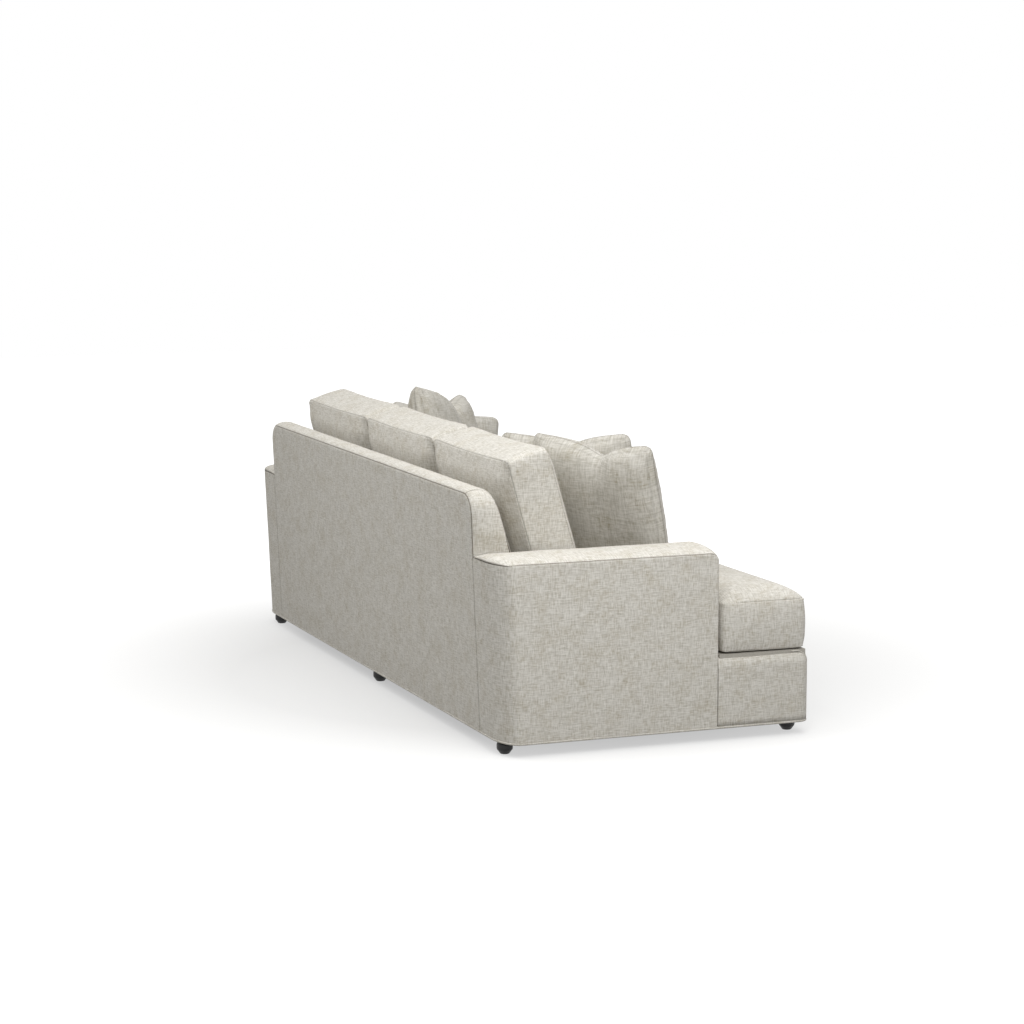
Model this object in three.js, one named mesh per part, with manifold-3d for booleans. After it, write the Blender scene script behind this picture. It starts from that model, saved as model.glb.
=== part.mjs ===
// Three-seat sectional sofa with a short chaise end, loose seat and back cushions and throw pillows.
// Millimetres, +Z up. X runs along the length, depth is measured from the rear hem towards the front (-Y).
import * as THREE from "three";
import { mergeVertices } from "three/addons/utils/BufferGeometryUtils.js";
import Module from "manifold-3d";

const wasm = await Module();
wasm.setup();

// Driving sizes of the upholstered outside.
const length = 2684;
const chaiseReach = 333;
const seatReach = 104;
const chaiseWidth = 977;
const hemHeight = 42;
const hemWelt = 8;
const hemThickness = 10;
const armWidth = 224;
const armDepth = 737;
const armSeamHeight = 617;
const armCrown = 21;
const armFrontCrown = 9;
const armCornerRadius = 28;
const rearCornerRadius = 55;
const backSeamHeight = 813;
const backCrown = 17;
const backCornerRadius = 62;
const backTopThickness = 86;
const rearLeanShare = 0.0438;
const insideLeanShare = 0.3;

// Upholstery build-up.
const clearance = 0.3;
const cover = 14;
const deckThickness = 30;
const baseTopGap = 10;
const baseEdgeRadius = 16;
const insidePadCrown = 26;
const dustClothThickness = 2;

// Loose cushions.
const seatCushionBottom = 283;
const seatSeamHeight = 454;
const seatCrown = 30;
const seatFrontSetback = 5;
const seatCrownReach = 104;
const seatSideBulge = 7;
const seatPull = 6;
const cushionGap = 3;
const boxedFullnessShare = 0.5;
const backCushionSideGap = 24;
const backCushionHeight = 462;
const backCushionThickness = 146;
const backCushionLean = 16;
const backCushionRearDepth = 234;
const backCushionRearHeight = 467;
const backCushionFrontCrown = 38;
const backCushionRearCrown = 48;
const backCushionReach = 190;
const backCushionBulge = 8;
const backCushionPull = 6;

// Throw pillows.
const pillowEdge = 8;
const pillowPull = 20;
const pillowFullnessShare = 0.22;
const pillowChopWidth = 105;
const pillowChopFall = 3;
const liftShares = [0, 0.02, 0.05, 0.09, 0.14, 0.25];

// Timber frame.
const railThickness = 45;
const seatRailThickness = 30;
const railTop = 243;
const endRailThickness = 25;
const stretcherThickness = 25;
const stretcherDrop = 60;
const postThickness = 40;
const topRailHeight = 42;
const boardThickness = 18;
const blockLeg = 70;
const blockHeight = 120;
const blockGap = 0.6;

// Springs.
const wireRadius = 1.9;
const springWidth = 48;
const springPitch = 76;
const springsPerSeat = 4;
const tieWireSize = 3;
const clipLength = 26;
const clipWidth = 30;
const clipThickness = 2;

// Feet.
const footRadius = 26;
const footBaseRadius = 15.5;
const footRim = 3;
const footFlare = 12;
const footInset = 97;
const boltRadius = 4;
const boltReach = 30;
const boltHoleClearance = 0.4;

// Widths, heights and depths that follow from the sizes above.
const chaiseDepth = armDepth + chaiseReach;
const seatDepth = armDepth + seatReach;
const cushionsLeft = armWidth + backCushionSideGap;
const cushionsRight = length - cushionsLeft;
const seatWidth = (cushionsRight - chaiseWidth) / 2;
const footTop = hemHeight + 2 * clearance;
const dustClothTop = footTop + clearance + dustClothThickness;
const railBottom = dustClothTop + clearance;
const coverBottom = hemHeight + hemWelt + clearance;
const baseTop = seatCushionBottom - baseTopGap;
const deckTop = seatCushionBottom - clearance;
const backCushionFront = backCushionRearDepth + backCushionThickness;
const deckBottom = deckTop - deckThickness;
const seatTop = seatSeamHeight + seatCrown;
const railOuter = cover + clearance;
const rearRailFront = railOuter + railThickness;
const insideBand = (cover + clearance) * Math.hypot(1, insideLeanShare);
const backInnerX = armWidth + clearance;
const backOuterX = length - backInnerX;
const backBandThickness = cover;

// Rear face leans backwards from the hem.
function rearDepth(z) {
  return -rearLeanShare * (z - hemHeight);
}

// Front face of the upholstered back, behind the back cushions.
function insideDepth(z) {
  const topFront = rearDepth(backSeamHeight) + backTopThickness;
  return topFront + insideLeanShare * (backSeamHeight - z);
}

const fabricColour = 0xcbc8c0;
const flangeColour = 0xd2cfc7;
const timberColour = 0xd9b98a;
const steelColour = 0x8d9196;
const clothColour = 0x26262a;
const footColour = 0x1a1a1b;

const sofa = new THREE.Group();

// Adds one named piece.
function piece(name, geometry, colour, roughness = 0.95, metalness = 0) {
  const material = new THREE.MeshStandardMaterial({ color: colour, roughness, metalness });
  const flat = geometry.index ? geometry.toNonIndexed() : geometry;
  flat.computeVertexNormals();
  const mesh = new THREE.Mesh(flat, material);
  mesh.name = name;
  sofa.add(mesh);
  return mesh;
}

// Turns a closed geometry into a solid that can be joined and cut.
function solid(geometry) {
  const bare = geometry.clone();
  bare.deleteAttribute("normal");
  bare.deleteAttribute("uv");
  const merged = mergeVertices(bare, 1e-3);
  const vertProperties = new Float32Array(merged.attributes.position.array);
  const triVerts = new Uint32Array(merged.index.array);
  return new wasm.Manifold(new wasm.Mesh({ numProp: 3, vertProperties, triVerts }));
}

function geometryOf(shape) {
  const mesh = shape.getMesh();
  const geometry = new THREE.BufferGeometry();
  geometry.setAttribute("position", new THREE.BufferAttribute(mesh.vertProperties, 3));
  geometry.setIndex(new THREE.BufferAttribute(mesh.triVerts, 1));
  return geometry;
}

function subtractAll(geometry, cuts) {
  return geometryOf(cuts.reduce((left, cut) => left.subtract(solid(cut)), solid(geometry)));
}

function joinAll(geometries) {
  return geometryOf(geometries.map(solid).reduce((left, right) => left.add(right)));
}

function intersectBoth(a, b) {
  return geometryOf(solid(a).intersect(solid(b)));
}

// A squared board between two corners, in x, depth and height.
function board(x0, x1, depth0, depth1, z0, z1) {
  const box = new THREE.BoxGeometry(x1 - x0, depth1 - depth0, z1 - z0);
  return box.translate((x0 + x1) / 2, -(depth0 + depth1) / 2, (z0 + z1) / 2);
}

function shapeOf(points) {
  return new THREE.Shape(points.map(([a, b]) => new THREE.Vector2(a, b)));
}

// A plan outline in x and depth, extruded upwards.
function planBoard(outline, z0, z1) {
  const shape = shapeOf(outline.map(([x, depth]) => [x, -depth]));
  const body = new THREE.ExtrudeGeometry(shape, { depth: z1 - z0, bevelEnabled: false });
  return body.translate(0, 0, z0);
}

// A side outline in depth and height, extruded along the length.
function sideBoard(outline, x0, x1) {
  const body = new THREE.ExtrudeGeometry(shapeOf(outline), { depth: x1 - x0, bevelEnabled: false });
  const turn = new THREE.Matrix4().makeBasis(
    new THREE.Vector3(0, -1, 0),
    new THREE.Vector3(0, 0, 1),
    new THREE.Vector3(-1, 0, 0),
  );
  return body.applyMatrix4(turn).translate(x1, 0, 0);
}

// A front outline in x and height, extruded from one depth to a deeper one.
function frontBoard(outline, depth0, depth1) {
  const body = new THREE.ExtrudeGeometry(shapeOf(outline), { depth: depth1 - depth0, bevelEnabled: false });
  const turn = new THREE.Matrix4().makeBasis(
    new THREE.Vector3(1, 0, 0),
    new THREE.Vector3(0, 0, 1),
    new THREE.Vector3(0, -1, 0),
  );
  return body.applyMatrix4(turn).translate(0, -depth0, 0);
}

// Points on an arc about a centre, from one angle to another, in degrees.
function arc(centre, radius, from, to, steps) {
  return Array.from({ length: steps + 1 }, (_, i) => {
    const angle = THREE.MathUtils.degToRad(from + ((to - from) * i) / steps);
    return [centre[0] + radius * Math.cos(angle), centre[1] + radius * Math.sin(angle)];
  });
}

// Builds a geometry from vertices and faces, turned so that its faces point outwards.
function closedBody(vertices, faces) {
  let volume = 0;
  for (const [a, b, c] of faces) {
    const cross = new THREE.Vector3().crossVectors(vertices[b], vertices[c]);
    volume += vertices[a].dot(cross);
  }
  const ordered = volume < 0 ? faces.map(([a, b, c]) => [a, c, b]) : faces;
  const geometry = new THREE.BufferGeometry().setFromPoints(vertices);
  geometry.setIndex(ordered.flat());
  return geometry;
}

// Faces that close one ring of points, in the ring's own turning direction.
function capFaces(ring, offset) {
  const normal = new THREE.Vector3();
  ring.forEach((point, i) => {
    const next = ring[(i + 1) % ring.length];
    normal.add(new THREE.Vector3().crossVectors(point, next));
  });
  normal.normalize();
  const side = new THREE.Vector3().subVectors(ring[1], ring[0]).normalize();
  const up = new THREE.Vector3().crossVectors(normal, side);
  const flat = ring.map((point) => new THREE.Vector2(point.dot(side), point.dot(up)));
  return THREE.ShapeUtils.triangulateShape(flat, []).map((face) => face.map((i) => i + offset));
}

// A closed body through rings of equally many points.
function loft(rings) {
  const count = rings[0].length;
  const vertices = rings.flat();
  const faces = [];
  for (let r = 0; r + 1 < rings.length; r += 1) {
    for (let i = 0; i < count; i += 1) {
      const j = (i + 1) % count;
      const low = r * count;
      const high = low + count;
      faces.push([low + i, low + j, high + j], [low + i, high + j, high + i]);
    }
  }
  const last = (rings.length - 1) * count;
  for (const [a, b, c] of capFaces(rings[0], 0)) faces.push([a, c, b]);
  for (const face of capFaces(rings[rings.length - 1], last)) faces.push(face);
  return closedBody(vertices, faces);
}

function steps(from, to, count) {
  return Array.from({ length: count + 1 }, (_, i) => from + ((to - from) * i) / count);
}

// Distance from a point to the nearest edge of an outline.
function edgeDistance(x, y, outline) {
  let least = Infinity;
  outline.forEach(([ax, ay], i) => {
    const [bx, by] = outline[(i + 1) % outline.length];
    const along = ((x - ax) * (bx - ax) + (y - ay) * (by - ay)) / ((bx - ax) ** 2 + (by - ay) ** 2);
    const t = Math.min(1, Math.max(0, along));
    least = Math.min(least, Math.hypot(x - ax - t * (bx - ax), y - ay - t * (by - ay)));
  });
  return least;
}

// Rise from a seam to the full crown: a quarter circle on boxed cushions, flatter on pillows.
function crownShare(distance, reach, fullness) {
  const t = Math.min(1, distance / reach);
  return (1 - (1 - t) ** 2) ** (1 - fullness);
}

// A stuffed form over a grid of cells: two crowned faces joined by a bulging border between two seams.
function stuffedForm(form) {
  const { xs, ys, keep, outline, low, high, lowCrown, highCrown, reach, bulge, pull, shift } = form;
  const fullness = form.fullness ?? boxedFullnessShare;
  const columns = xs.length;
  const kept = (i, j) => i >= 0 && j >= 0 && i < columns - 1 && j < ys.length - 1 && keep(i, j);
  const used = new Map();
  const vertices = [];
  const faces = [];
  const left = xs[0];
  const right = xs[columns - 1];
  const bottom = ys[0];
  const top = ys[ys.length - 1];
  function drawn(x, y) {
    const acrossX = (x - left) / (right - left);
    const acrossY = (y - bottom) / (top - bottom);
    const dx = pull * Math.sin(Math.PI * acrossY) * (1 - 2 * acrossX);
    const dy = pull * Math.sin(Math.PI * acrossX) * (1 - 2 * acrossY);
    const extra = shift ? shift(x, y, acrossX, acrossY) : 0;
    return [x + dx, y + dy + extra];
  }
  function vertex(layer, i, j, outward) {
    const key = `${layer}:${i}:${j}`;
    if (!used.has(key)) {
      const [x, y] = drawn(xs[i], ys[j]);
      const rise = crownShare(edgeDistance(xs[i], ys[j], outline), reach, fullness);
      const heights = { low: low - lowCrown * rise, middle: (low + high) / 2, high: high + highCrown * rise };
      const push = layer === "middle" ? bulge : 0;
      used.set(key, vertices.length);
      vertices.push(new THREE.Vector3(x + push * outward[0], y + push * outward[1], heights[layer]));
    }
    return used.get(key);
  }
  // Outward direction at a grid corner, from the kept cells round it.
  function outwardAt(i, j) {
    let x = 0;
    let y = 0;
    for (const [di, dj] of [[0, 0], [-1, 0], [0, -1], [-1, -1]]) {
      if (kept(i + di, j + dj)) {
        x -= di + 0.5;
        y -= dj + 0.5;
      }
    }
    const size = Math.hypot(x, y) || 1;
    return [x / size, y / size];
  }
  function wall(i0, j0, i1, j1) {
    const rows = bulge > 0 ? ["low", "middle", "high"] : ["low", "high"];
    for (let r = 0; r + 1 < rows.length; r += 1) {
      const a = vertex(rows[r], i0, j0, outwardAt(i0, j0));
      const b = vertex(rows[r], i1, j1, outwardAt(i1, j1));
      const c = vertex(rows[r + 1], i1, j1, outwardAt(i1, j1));
      const d = vertex(rows[r + 1], i0, j0, outwardAt(i0, j0));
      faces.push([a, b, c], [a, c, d]);
    }
  }
  for (let i = 0; i < columns - 1; i += 1) {
    for (let j = 0; j < ys.length - 1; j += 1) {
      if (!kept(i, j)) continue;
      const corners = [[i, j], [i + 1, j], [i + 1, j + 1], [i, j + 1]];
      const [a, b, c, d] = corners.map(([p, q]) => vertex("high", p, q, [0, 0]));
      faces.push([a, b, c], [a, c, d]);
      const [e, f, g, h] = corners.map(([p, q]) => vertex("low", p, q, [0, 0]));
      faces.push([e, g, f], [e, h, g]);
      if (!kept(i, j - 1)) wall(i, j, i + 1, j);
      if (!kept(i + 1, j)) wall(i + 1, j, i + 1, j + 1);
      if (!kept(i, j + 1)) wall(i + 1, j + 1, i, j + 1);
      if (!kept(i - 1, j)) wall(i, j + 1, i, j);
    }
  }
  return closedBody(vertices, faces);
}

// Plan outline of the sofa: long back, short chaise front at the near end, step back to the seats.
function planOutline(inset, rear) {
  const radius = rearCornerRadius - inset;
  const farX = length - rearCornerRadius;
  const centreDepth = rear + rearCornerRadius;
  return [
    ...arc([rearCornerRadius, centreDepth], radius, 180, 270, 6),
    ...arc([farX, centreDepth], radius, 270, 360, 6),
    [length - inset, seatDepth - inset],
    [chaiseWidth - inset, seatDepth - inset],
    [chaiseWidth - inset, chaiseDepth - inset],
    [inset, chaiseDepth - inset],
  ];
}

// Timber rails, from the rear hem to the chaise front.
const seatRailFront = insideDepth(railTop) - cover;
const seatRailRear = seatRailFront - seatRailThickness;
const chaiseRailInner = chaiseWidth - railOuter;
const chaiseRailX = chaiseRailInner - endRailThickness;
const chaiseRailRear = chaiseDepth - railOuter - railThickness;
const seatFrontRailRear = seatDepth - railOuter - railThickness;
const stretcherX = backOuterX - (backOuterX - chaiseWidth) / 2;

const footPlaces = {
  foot_rear_near: [footInset, railOuter + railThickness / 2],
  foot_rear_middle: [length / 2, railOuter + railThickness / 2],
  foot_rear_far: [length - footInset, railOuter + railThickness / 2],
  foot_chaise_outer: [footInset, chaiseRailRear + railThickness / 2],
  foot_chaise_inner: [chaiseWidth - footInset, chaiseRailRear + railThickness / 2],
  foot_seat_middle: [stretcherX, seatFrontRailRear + railThickness / 2],
  foot_seat_far: [length - footInset, seatFrontRailRear + railThickness / 2],
};

// Holes for the feet's bolts.
function boltHole([x, depth]) {
  const radius = boltRadius + boltHoleClearance;
  const hole = new THREE.CylinderGeometry(radius, radius, 2 * (boltReach + clearance), 8);
  return hole.rotateX(Math.PI / 2).translate(x, -depth, railBottom);
}

function drilled(geometry, ...feet) {
  return subtractAll(geometry, feet.map((foot) => boltHole(footPlaces[foot])));
}

function buildRails() {
  const rearLeft = rearCornerRadius + clearance;
  const rearRail = board(rearLeft, length - rearLeft, railOuter, rearRailFront, railBottom, railTop);
  const rearFeet = ["foot_rear_near", "foot_rear_middle", "foot_rear_far"];
  piece("rail_rear", drilled(rearRail, ...rearFeet), timberColour);
  const seatRail = board(backInnerX, backOuterX, seatRailRear, seatRailFront, railBottom, railTop);
  piece("rail_seat_rear", seatRail, timberColour);
  const endStart = rearRailFront + clearance;
  const endRail = (x0, front) => board(x0, x0 + endRailThickness, endStart, front, railBottom, railTop);
  piece("rail_end_near", endRail(railOuter, chaiseDepth - railOuter), timberColour);
  const farEndX = length - railOuter - endRailThickness;
  piece("rail_end_far", endRail(farEndX, seatDepth - railOuter), timberColour);
  const chaiseFront = board(
    railOuter + endRailThickness + clearance,
    chaiseRailInner,
    chaiseRailRear,
    chaiseDepth - railOuter,
    railBottom,
    railTop,
  );
  piece("rail_front_chaise", drilled(chaiseFront, "foot_chaise_outer", "foot_chaise_inner"), timberColour);
  const innerStart = seatRailFront + clearance;
  const chaiseInner = board(
    chaiseRailX,
    chaiseRailInner,
    innerStart,
    chaiseRailRear - clearance,
    railBottom,
    railTop,
  );
  piece("rail_chaise_inner", chaiseInner, timberColour);
  const seatFront = board(
    chaiseRailInner + clearance,
    farEndX - clearance,
    seatFrontRailRear,
    seatDepth - railOuter,
    railBottom,
    railTop,
  );
  piece("rail_front_seats", drilled(seatFront, "foot_seat_middle", "foot_seat_far"), timberColour);
  const stretcher = board(
    stretcherX - stretcherThickness / 2,
    stretcherX + stretcherThickness / 2,
    innerStart,
    seatFrontRailRear - clearance,
    railBottom + stretcherDrop,
    railTop,
  );
  piece("stretcher_seats", stretcher, timberColour);
}

// Glued triangular blocks in the corners between two rails.
function buildCornerBlocks() {
  const leg = blockLeg;
  const top = railBottom + blockHeight;
  function block(name, x, depth, alongX, alongDepth) {
    const outline = [
      [x, depth],
      [x + alongX * leg, depth],
      [x, depth + alongDepth * leg],
    ];
    piece(name, planBoard(outline, railBottom, top), timberColour);
  }
  const nearX = railOuter + endRailThickness + clearance;
  const stretcherSide = stretcherX + stretcherThickness / 2 + clearance;
  const chaiseX = chaiseRailX - clearance;
  const stepX = chaiseRailInner + clearance;
  block("corner_block_chaise_outer", nearX, chaiseRailRear - clearance, 1, -1);
  block("corner_block_chaise_inner", chaiseX, chaiseRailRear - clearance, -1, -1);
  block("corner_block_step", stepX, seatFrontRailRear - clearance, 1, -1);
  block("corner_block_stretcher", stretcherSide, seatFrontRailRear - clearance, 1, -1);
  block("corner_block_seat_rear", chaiseX, seatRailFront + blockGap, -1, 1);
}

// Raked posts cut from board, lapped over the rear rail and carrying the top rail.
function buildBackFrame() {
  const band = cover + clearance;
  const postTop = backSeamHeight - band - topRailHeight - clearance;
  const lapTop = railTop + clearance;
  const front = (z) => insideDepth(z) - insideBand;
  const outline = [
    [rearRailFront + clearance, railBottom],
    [rearRailFront + clearance, lapTop],
    [rearDepth(lapTop) + band, lapTop],
    [rearDepth(postTop) + band, postTop],
    [front(postTop), postTop],
    [front(railTop) - seatRailThickness - clearance, railTop],
    [seatRailRear - clearance, railBottom],
  ];
  const firstX = backInnerX + backCornerRadius;
  const lastX = length - firstX - postThickness;
  const postPlaces = {
    back_post_near: firstX,
    back_post_chaise: chaiseWidth - postThickness / 2,
    back_post_middle: stretcherX - postThickness / 2,
    back_post_far: lastX,
  };
  for (const [name, x] of Object.entries(postPlaces)) {
    piece(name, sideBoard(outline, x, x + postThickness), timberColour);
  }
  const railLow = postTop + clearance;
  const railHigh = postTop + clearance + topRailHeight;
  const topRail = [
    [rearDepth(railLow) + band, railLow],
    [rearDepth(railHigh) + band, railHigh],
    [front(railHigh), railHigh],
    [front(railLow), railLow],
  ];
  piece("back_top_rail", sideBoard(topRail, firstX, length - firstX), timberColour);
}

// One arm's timber box: two side panels with windows, closed by a top, a front and a rear board.
function armFrame() {
  const left = cover + clearance;
  const right = armWidth - left;
  const rear = rearRailFront + clearance;
  const front = armDepth - left;
  const top = armSeamHeight - left;
  const chamfer = armCornerRadius - cover;
  const profile = [
    [rear, railBottom],
    [front, railBottom],
    [front, top - chamfer],
    [front - chamfer, top],
    [rear, top],
  ];
  const shell = sideBoard(profile, left, right);
  const inside = board(
    left + boardThickness,
    right - boardThickness,
    rear + boardThickness,
    front - boardThickness,
    railBottom - boardThickness,
    top - boardThickness,
  );
  const railSpace = board(
    0,
    left + endRailThickness + clearance,
    0,
    armDepth,
    railBottom - boardThickness,
    railTop + clearance,
  );
  const seatRailSpace = board(
    right - boardThickness - clearance,
    armWidth,
    seatRailRear - clearance,
    seatRailFront + clearance,
    railBottom - boardThickness,
    railTop + clearance,
  );
  const windowLow = railTop + 3 * boardThickness;
  const windowHigh = top - 4 * boardThickness;
  const middle = (rear + front) / 2;
  const windows = [
    [rear + 4 * boardThickness, middle - 2 * boardThickness],
    [middle + 2 * boardThickness, front - 4 * boardThickness],
  ].map(([from, to]) => board(0, armWidth, from, to, windowLow, windowHigh));
  return subtractAll(shell, [inside, railSpace, seatRailSpace, ...windows]);
}

// Mirrors a geometry to the far end of the sofa, keeping its faces outward.
function mirrored(geometry) {
  const flipped = geometry.clone().scale(-1, 1, 1).translate(length, 0, 0);
  const index = flipped.index.array;
  for (let i = 0; i < index.length; i += 3) {
    [index[i + 1], index[i + 2]] = [index[i + 2], index[i + 1]];
  }
  return flipped;
}

// Outer arm panel: one padded cover that wraps the rounded rear corner and runs to the front edge.
function armOuterPanel() {
  const inner = rearCornerRadius - cover;
  function ring(z) {
    const rear = rearDepth(z);
    const centre = [rearCornerRadius, rear + rearCornerRadius];
    const outside = [
      [armWidth, rear],
      ...arc(centre, rearCornerRadius, 270, 180, 8),
      [0, armDepth],
    ];
    const inside = [
      [cover, armDepth],
      ...arc(centre, inner, 180, 270, 8),
      [armWidth, rear + cover],
    ];
    return [...outside, ...inside].map(([x, depth]) => new THREE.Vector3(x, -depth, z));
  }
  const panel = loft([ring(coverBottom), ring(armSeamHeight)]);
  return intersectBoth(panel, armSide(-rearCornerRadius, armWidth + cover));
}

// Side view of the arm with its rounded top front corner, as a board between two places along X.
function armSide(x0, x1) {
  const rear = rearDepth(armSeamHeight) - cover;
  const centre = [armDepth - armCornerRadius, armSeamHeight - armCornerRadius];
  const outline = [
    [rear, coverBottom],
    [armDepth, coverBottom],
    ...arc(centre, armCornerRadius, 0, 90, 6),
    [rear, armSeamHeight],
  ];
  return sideBoard(outline, x0, x1);
}

function armInnerPanel() {
  const x0 = armWidth - cover;
  const rear = rearRailFront + clearance;
  const slot = board(x0 - cover, armWidth + cover, rear, armDepth + cover, deckBottom, 2 * armSeamHeight);
  return intersectBoth(armSide(x0, armWidth), slot);
}

// Boxing strip of the arm: over the top, round the front corner and down to the hem, crowned between its seams.
function armBoxing() {
  const left = cover + clearance;
  const right = armWidth - left;
  const rows = 8;
  const corner = [armDepth - armCornerRadius, armSeamHeight - armCornerRadius];
  const stations = [
    { at: [rearDepth(armSeamHeight), armSeamHeight], out: [0, 1], crown: armCrown },
    { at: [corner[0], armSeamHeight], out: [0, 1], crown: armCrown },
    ...[75, 60, 45, 30, 15].map((angle) => {
      const turn = THREE.MathUtils.degToRad(angle);
      const out = [Math.cos(turn), Math.sin(turn)];
      const crown = armFrontCrown + (armCrown - armFrontCrown) * (angle / 90);
      return { at: corner.map((value, i) => value + armCornerRadius * out[i]), out, crown };
    }),
    { at: [armDepth, corner[1]], out: [1, 0], crown: armFrontCrown },
    { at: [armDepth, coverBottom], out: [1, 0], crown: armFrontCrown },
  ];
  const rings = stations.map(({ at, out, crown }) => {
    const place = (x, lift) => new THREE.Vector3(x, -(at[0] + lift * out[0]), at[1] + lift * out[1]);
    const crowned = steps(0, 1, rows).map((share) => {
      const rise = crown * Math.sqrt(1 - (2 * share - 1) ** 2);
      return place(left + share * (right - left), rise);
    });
    return [place(left, -cover), ...crowned, place(right, -cover)];
  });
  const strip = loft(rings);
  const radius = rearCornerRadius - cover - clearance;
  const centreDepth = rearDepth(armSeamHeight - cover) + rearCornerRadius;
  const plan = [
    ...arc([rearCornerRadius, centreDepth], radius, 180, 270, 8),
    [armWidth, centreDepth - radius],
    [armWidth, 2 * armDepth],
    [rearCornerRadius - radius, 2 * armDepth],
  ];
  const rounded = intersectBoth(strip, planBoard(plan, 0, 2 * armSeamHeight));
  const railSpace = board(
    0,
    left + endRailThickness + clearance,
    armDepth - rearCornerRadius,
    2 * armDepth,
    0,
    railTop + clearance,
  );
  return subtractAll(rounded, [railSpace]);
}

function buildArms() {
  const sides = { near: (geometry) => geometry, far: mirrored };
  for (const [side, place] of Object.entries(sides)) {
    piece(`arm_frame_${side}`, place(armFrame()), timberColour);
    piece(`arm_outer_cover_${side}`, place(armOuterPanel()), fabricColour);
    piece(`arm_inner_cover_${side}`, place(armInnerPanel()), fabricColour);
    piece(`arm_boxing_${side}`, place(armBoxing()), fabricColour);
  }
}

// Outline of the back's upper part in x and height, with rounded top corners.
function backOutline(inset, low) {
  const radius = backCornerRadius - inset;
  const height = backSeamHeight - backCornerRadius;
  const left = backInnerX + backCornerRadius;
  const right = length - left;
  return [
    [backInnerX + inset, low],
    ...arc([left, height], radius, 180, 90, 7),
    ...arc([right, height], radius, 90, 0, 7),
    [backOuterX - inset, low],
  ];
}

// Flat outside cover of the back, leaned with the rear face.
function outsideBack() {
  const outline = backOutline(0, coverBottom);
  const rings = [0, cover].map((inwards) =>
    outline.map(([x, z]) => new THREE.Vector3(x, -(rearDepth(z) + inwards), z)),
  );
  return loft(rings);
}

// Boxing band round the top and sides of the back, crowned between its two seams.
function backBoxing() {
  const columns = 6;
  const crownStart = armSeamHeight + armCrown + clearance;
  const low = armSeamHeight - 2 * armCrown;
  const outside = backOutline(0, low);
  const full = 3 * backCrown;
  const extra = steps(crownStart, crownStart + full, 2);
  const left = extra.map((z) => [backInnerX, z]);
  const right = extra.map((z) => [backOuterX, z]).reverse();
  const path = [outside[0], ...left, ...outside.slice(1, -1), ...right, outside[outside.length - 1]];
  const centreLeft = backInnerX + backCornerRadius;
  const centreZ = backSeamHeight - backCornerRadius;
  const rings = path.map(([x, z]) => {
    const centreX = Math.min(Math.max(x, centreLeft), length - centreLeft);
    const out = new THREE.Vector2(x - centreX, Math.max(0, z - centreZ)).normalize();
    const grown = Math.min(1, Math.max(0, (z - crownStart) / full));
    const place = (share, lift) => {
      const height = z + lift * out.y;
      const rear = rearDepth(height) + cover + clearance;
      const depth = rear + share * (insideDepth(height) - rear);
      return new THREE.Vector3(x + lift * out.x, -depth, height);
    };
    const crowned = steps(0, 1, columns).map((share) => {
      return place(share, backCrown * grown * Math.sqrt(1 - (2 * share - 1) ** 2));
    });
    return [place(0, -backBandThickness), ...crowned, place(1, -backBandThickness)];
  });
  return loft(rings);
}

// Padded inside cover of the back, crowned forwards behind the loose cushions.
function insideBack() {
  const left = backInnerX + cover + clearance;
  const right = length - left;
  const lowZ = deckTop + 2 * clearance;
  const highZ = backSeamHeight - cover - clearance;
  const tilt = Math.atan(insideLeanShare);
  const height = (highZ - lowZ) / Math.cos(tilt);
  const xs = steps(left, right, 12);
  const ys = steps(0, height, 5);
  const outline = [[left, 0], [right, 0], [right, height], [left, height]];
  const form = stuffedForm({
    xs,
    ys,
    keep: () => true,
    outline,
    low: -cover,
    high: -clearance,
    lowCrown: 0,
    highCrown: insidePadCrown,
    reach: height / 2,
    bulge: 0,
    pull: 0,
  });
  const up = new THREE.Vector3(0, Math.sin(tilt), Math.cos(tilt));
  const forward = new THREE.Vector3(0, -Math.cos(tilt), Math.sin(tilt));
  const turn = new THREE.Matrix4().makeBasis(new THREE.Vector3(1, 0, 0), up, forward);
  form.applyMatrix4(turn).translate(0, -insideDepth(lowZ), lowZ);
  const rounded = frontBoard(backOutline(cover + clearance, 0), 0, armDepth);
  return intersectBoth(form, rounded);
}

function buildBackCovers() {
  piece("back_outside_cover", outsideBack(), fabricColour);
  piece("back_boxing", backBoxing(), fabricColour);
  piece("back_inside_cover", insideBack(), fabricColour);
}

// Border panel of the base: a padded strip with a rounded top outer edge.
function borderSection(outer, direction) {
  const centre = [outer - direction * baseEdgeRadius, baseTop - baseEdgeRadius];
  const inner = outer - direction * cover;
  const from = direction > 0 ? 0 : 180;
  const rounded = arc(centre, baseEdgeRadius, from, 90, 5).filter(([place]) => {
    return direction * (place - inner) > 0;
  });
  const crest = baseTop - baseEdgeRadius + Math.sqrt(baseEdgeRadius ** 2 - (baseEdgeRadius - cover) ** 2);
  return [[inner, coverBottom], [outer, coverBottom], ...rounded, [inner, crest]];
}

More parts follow.
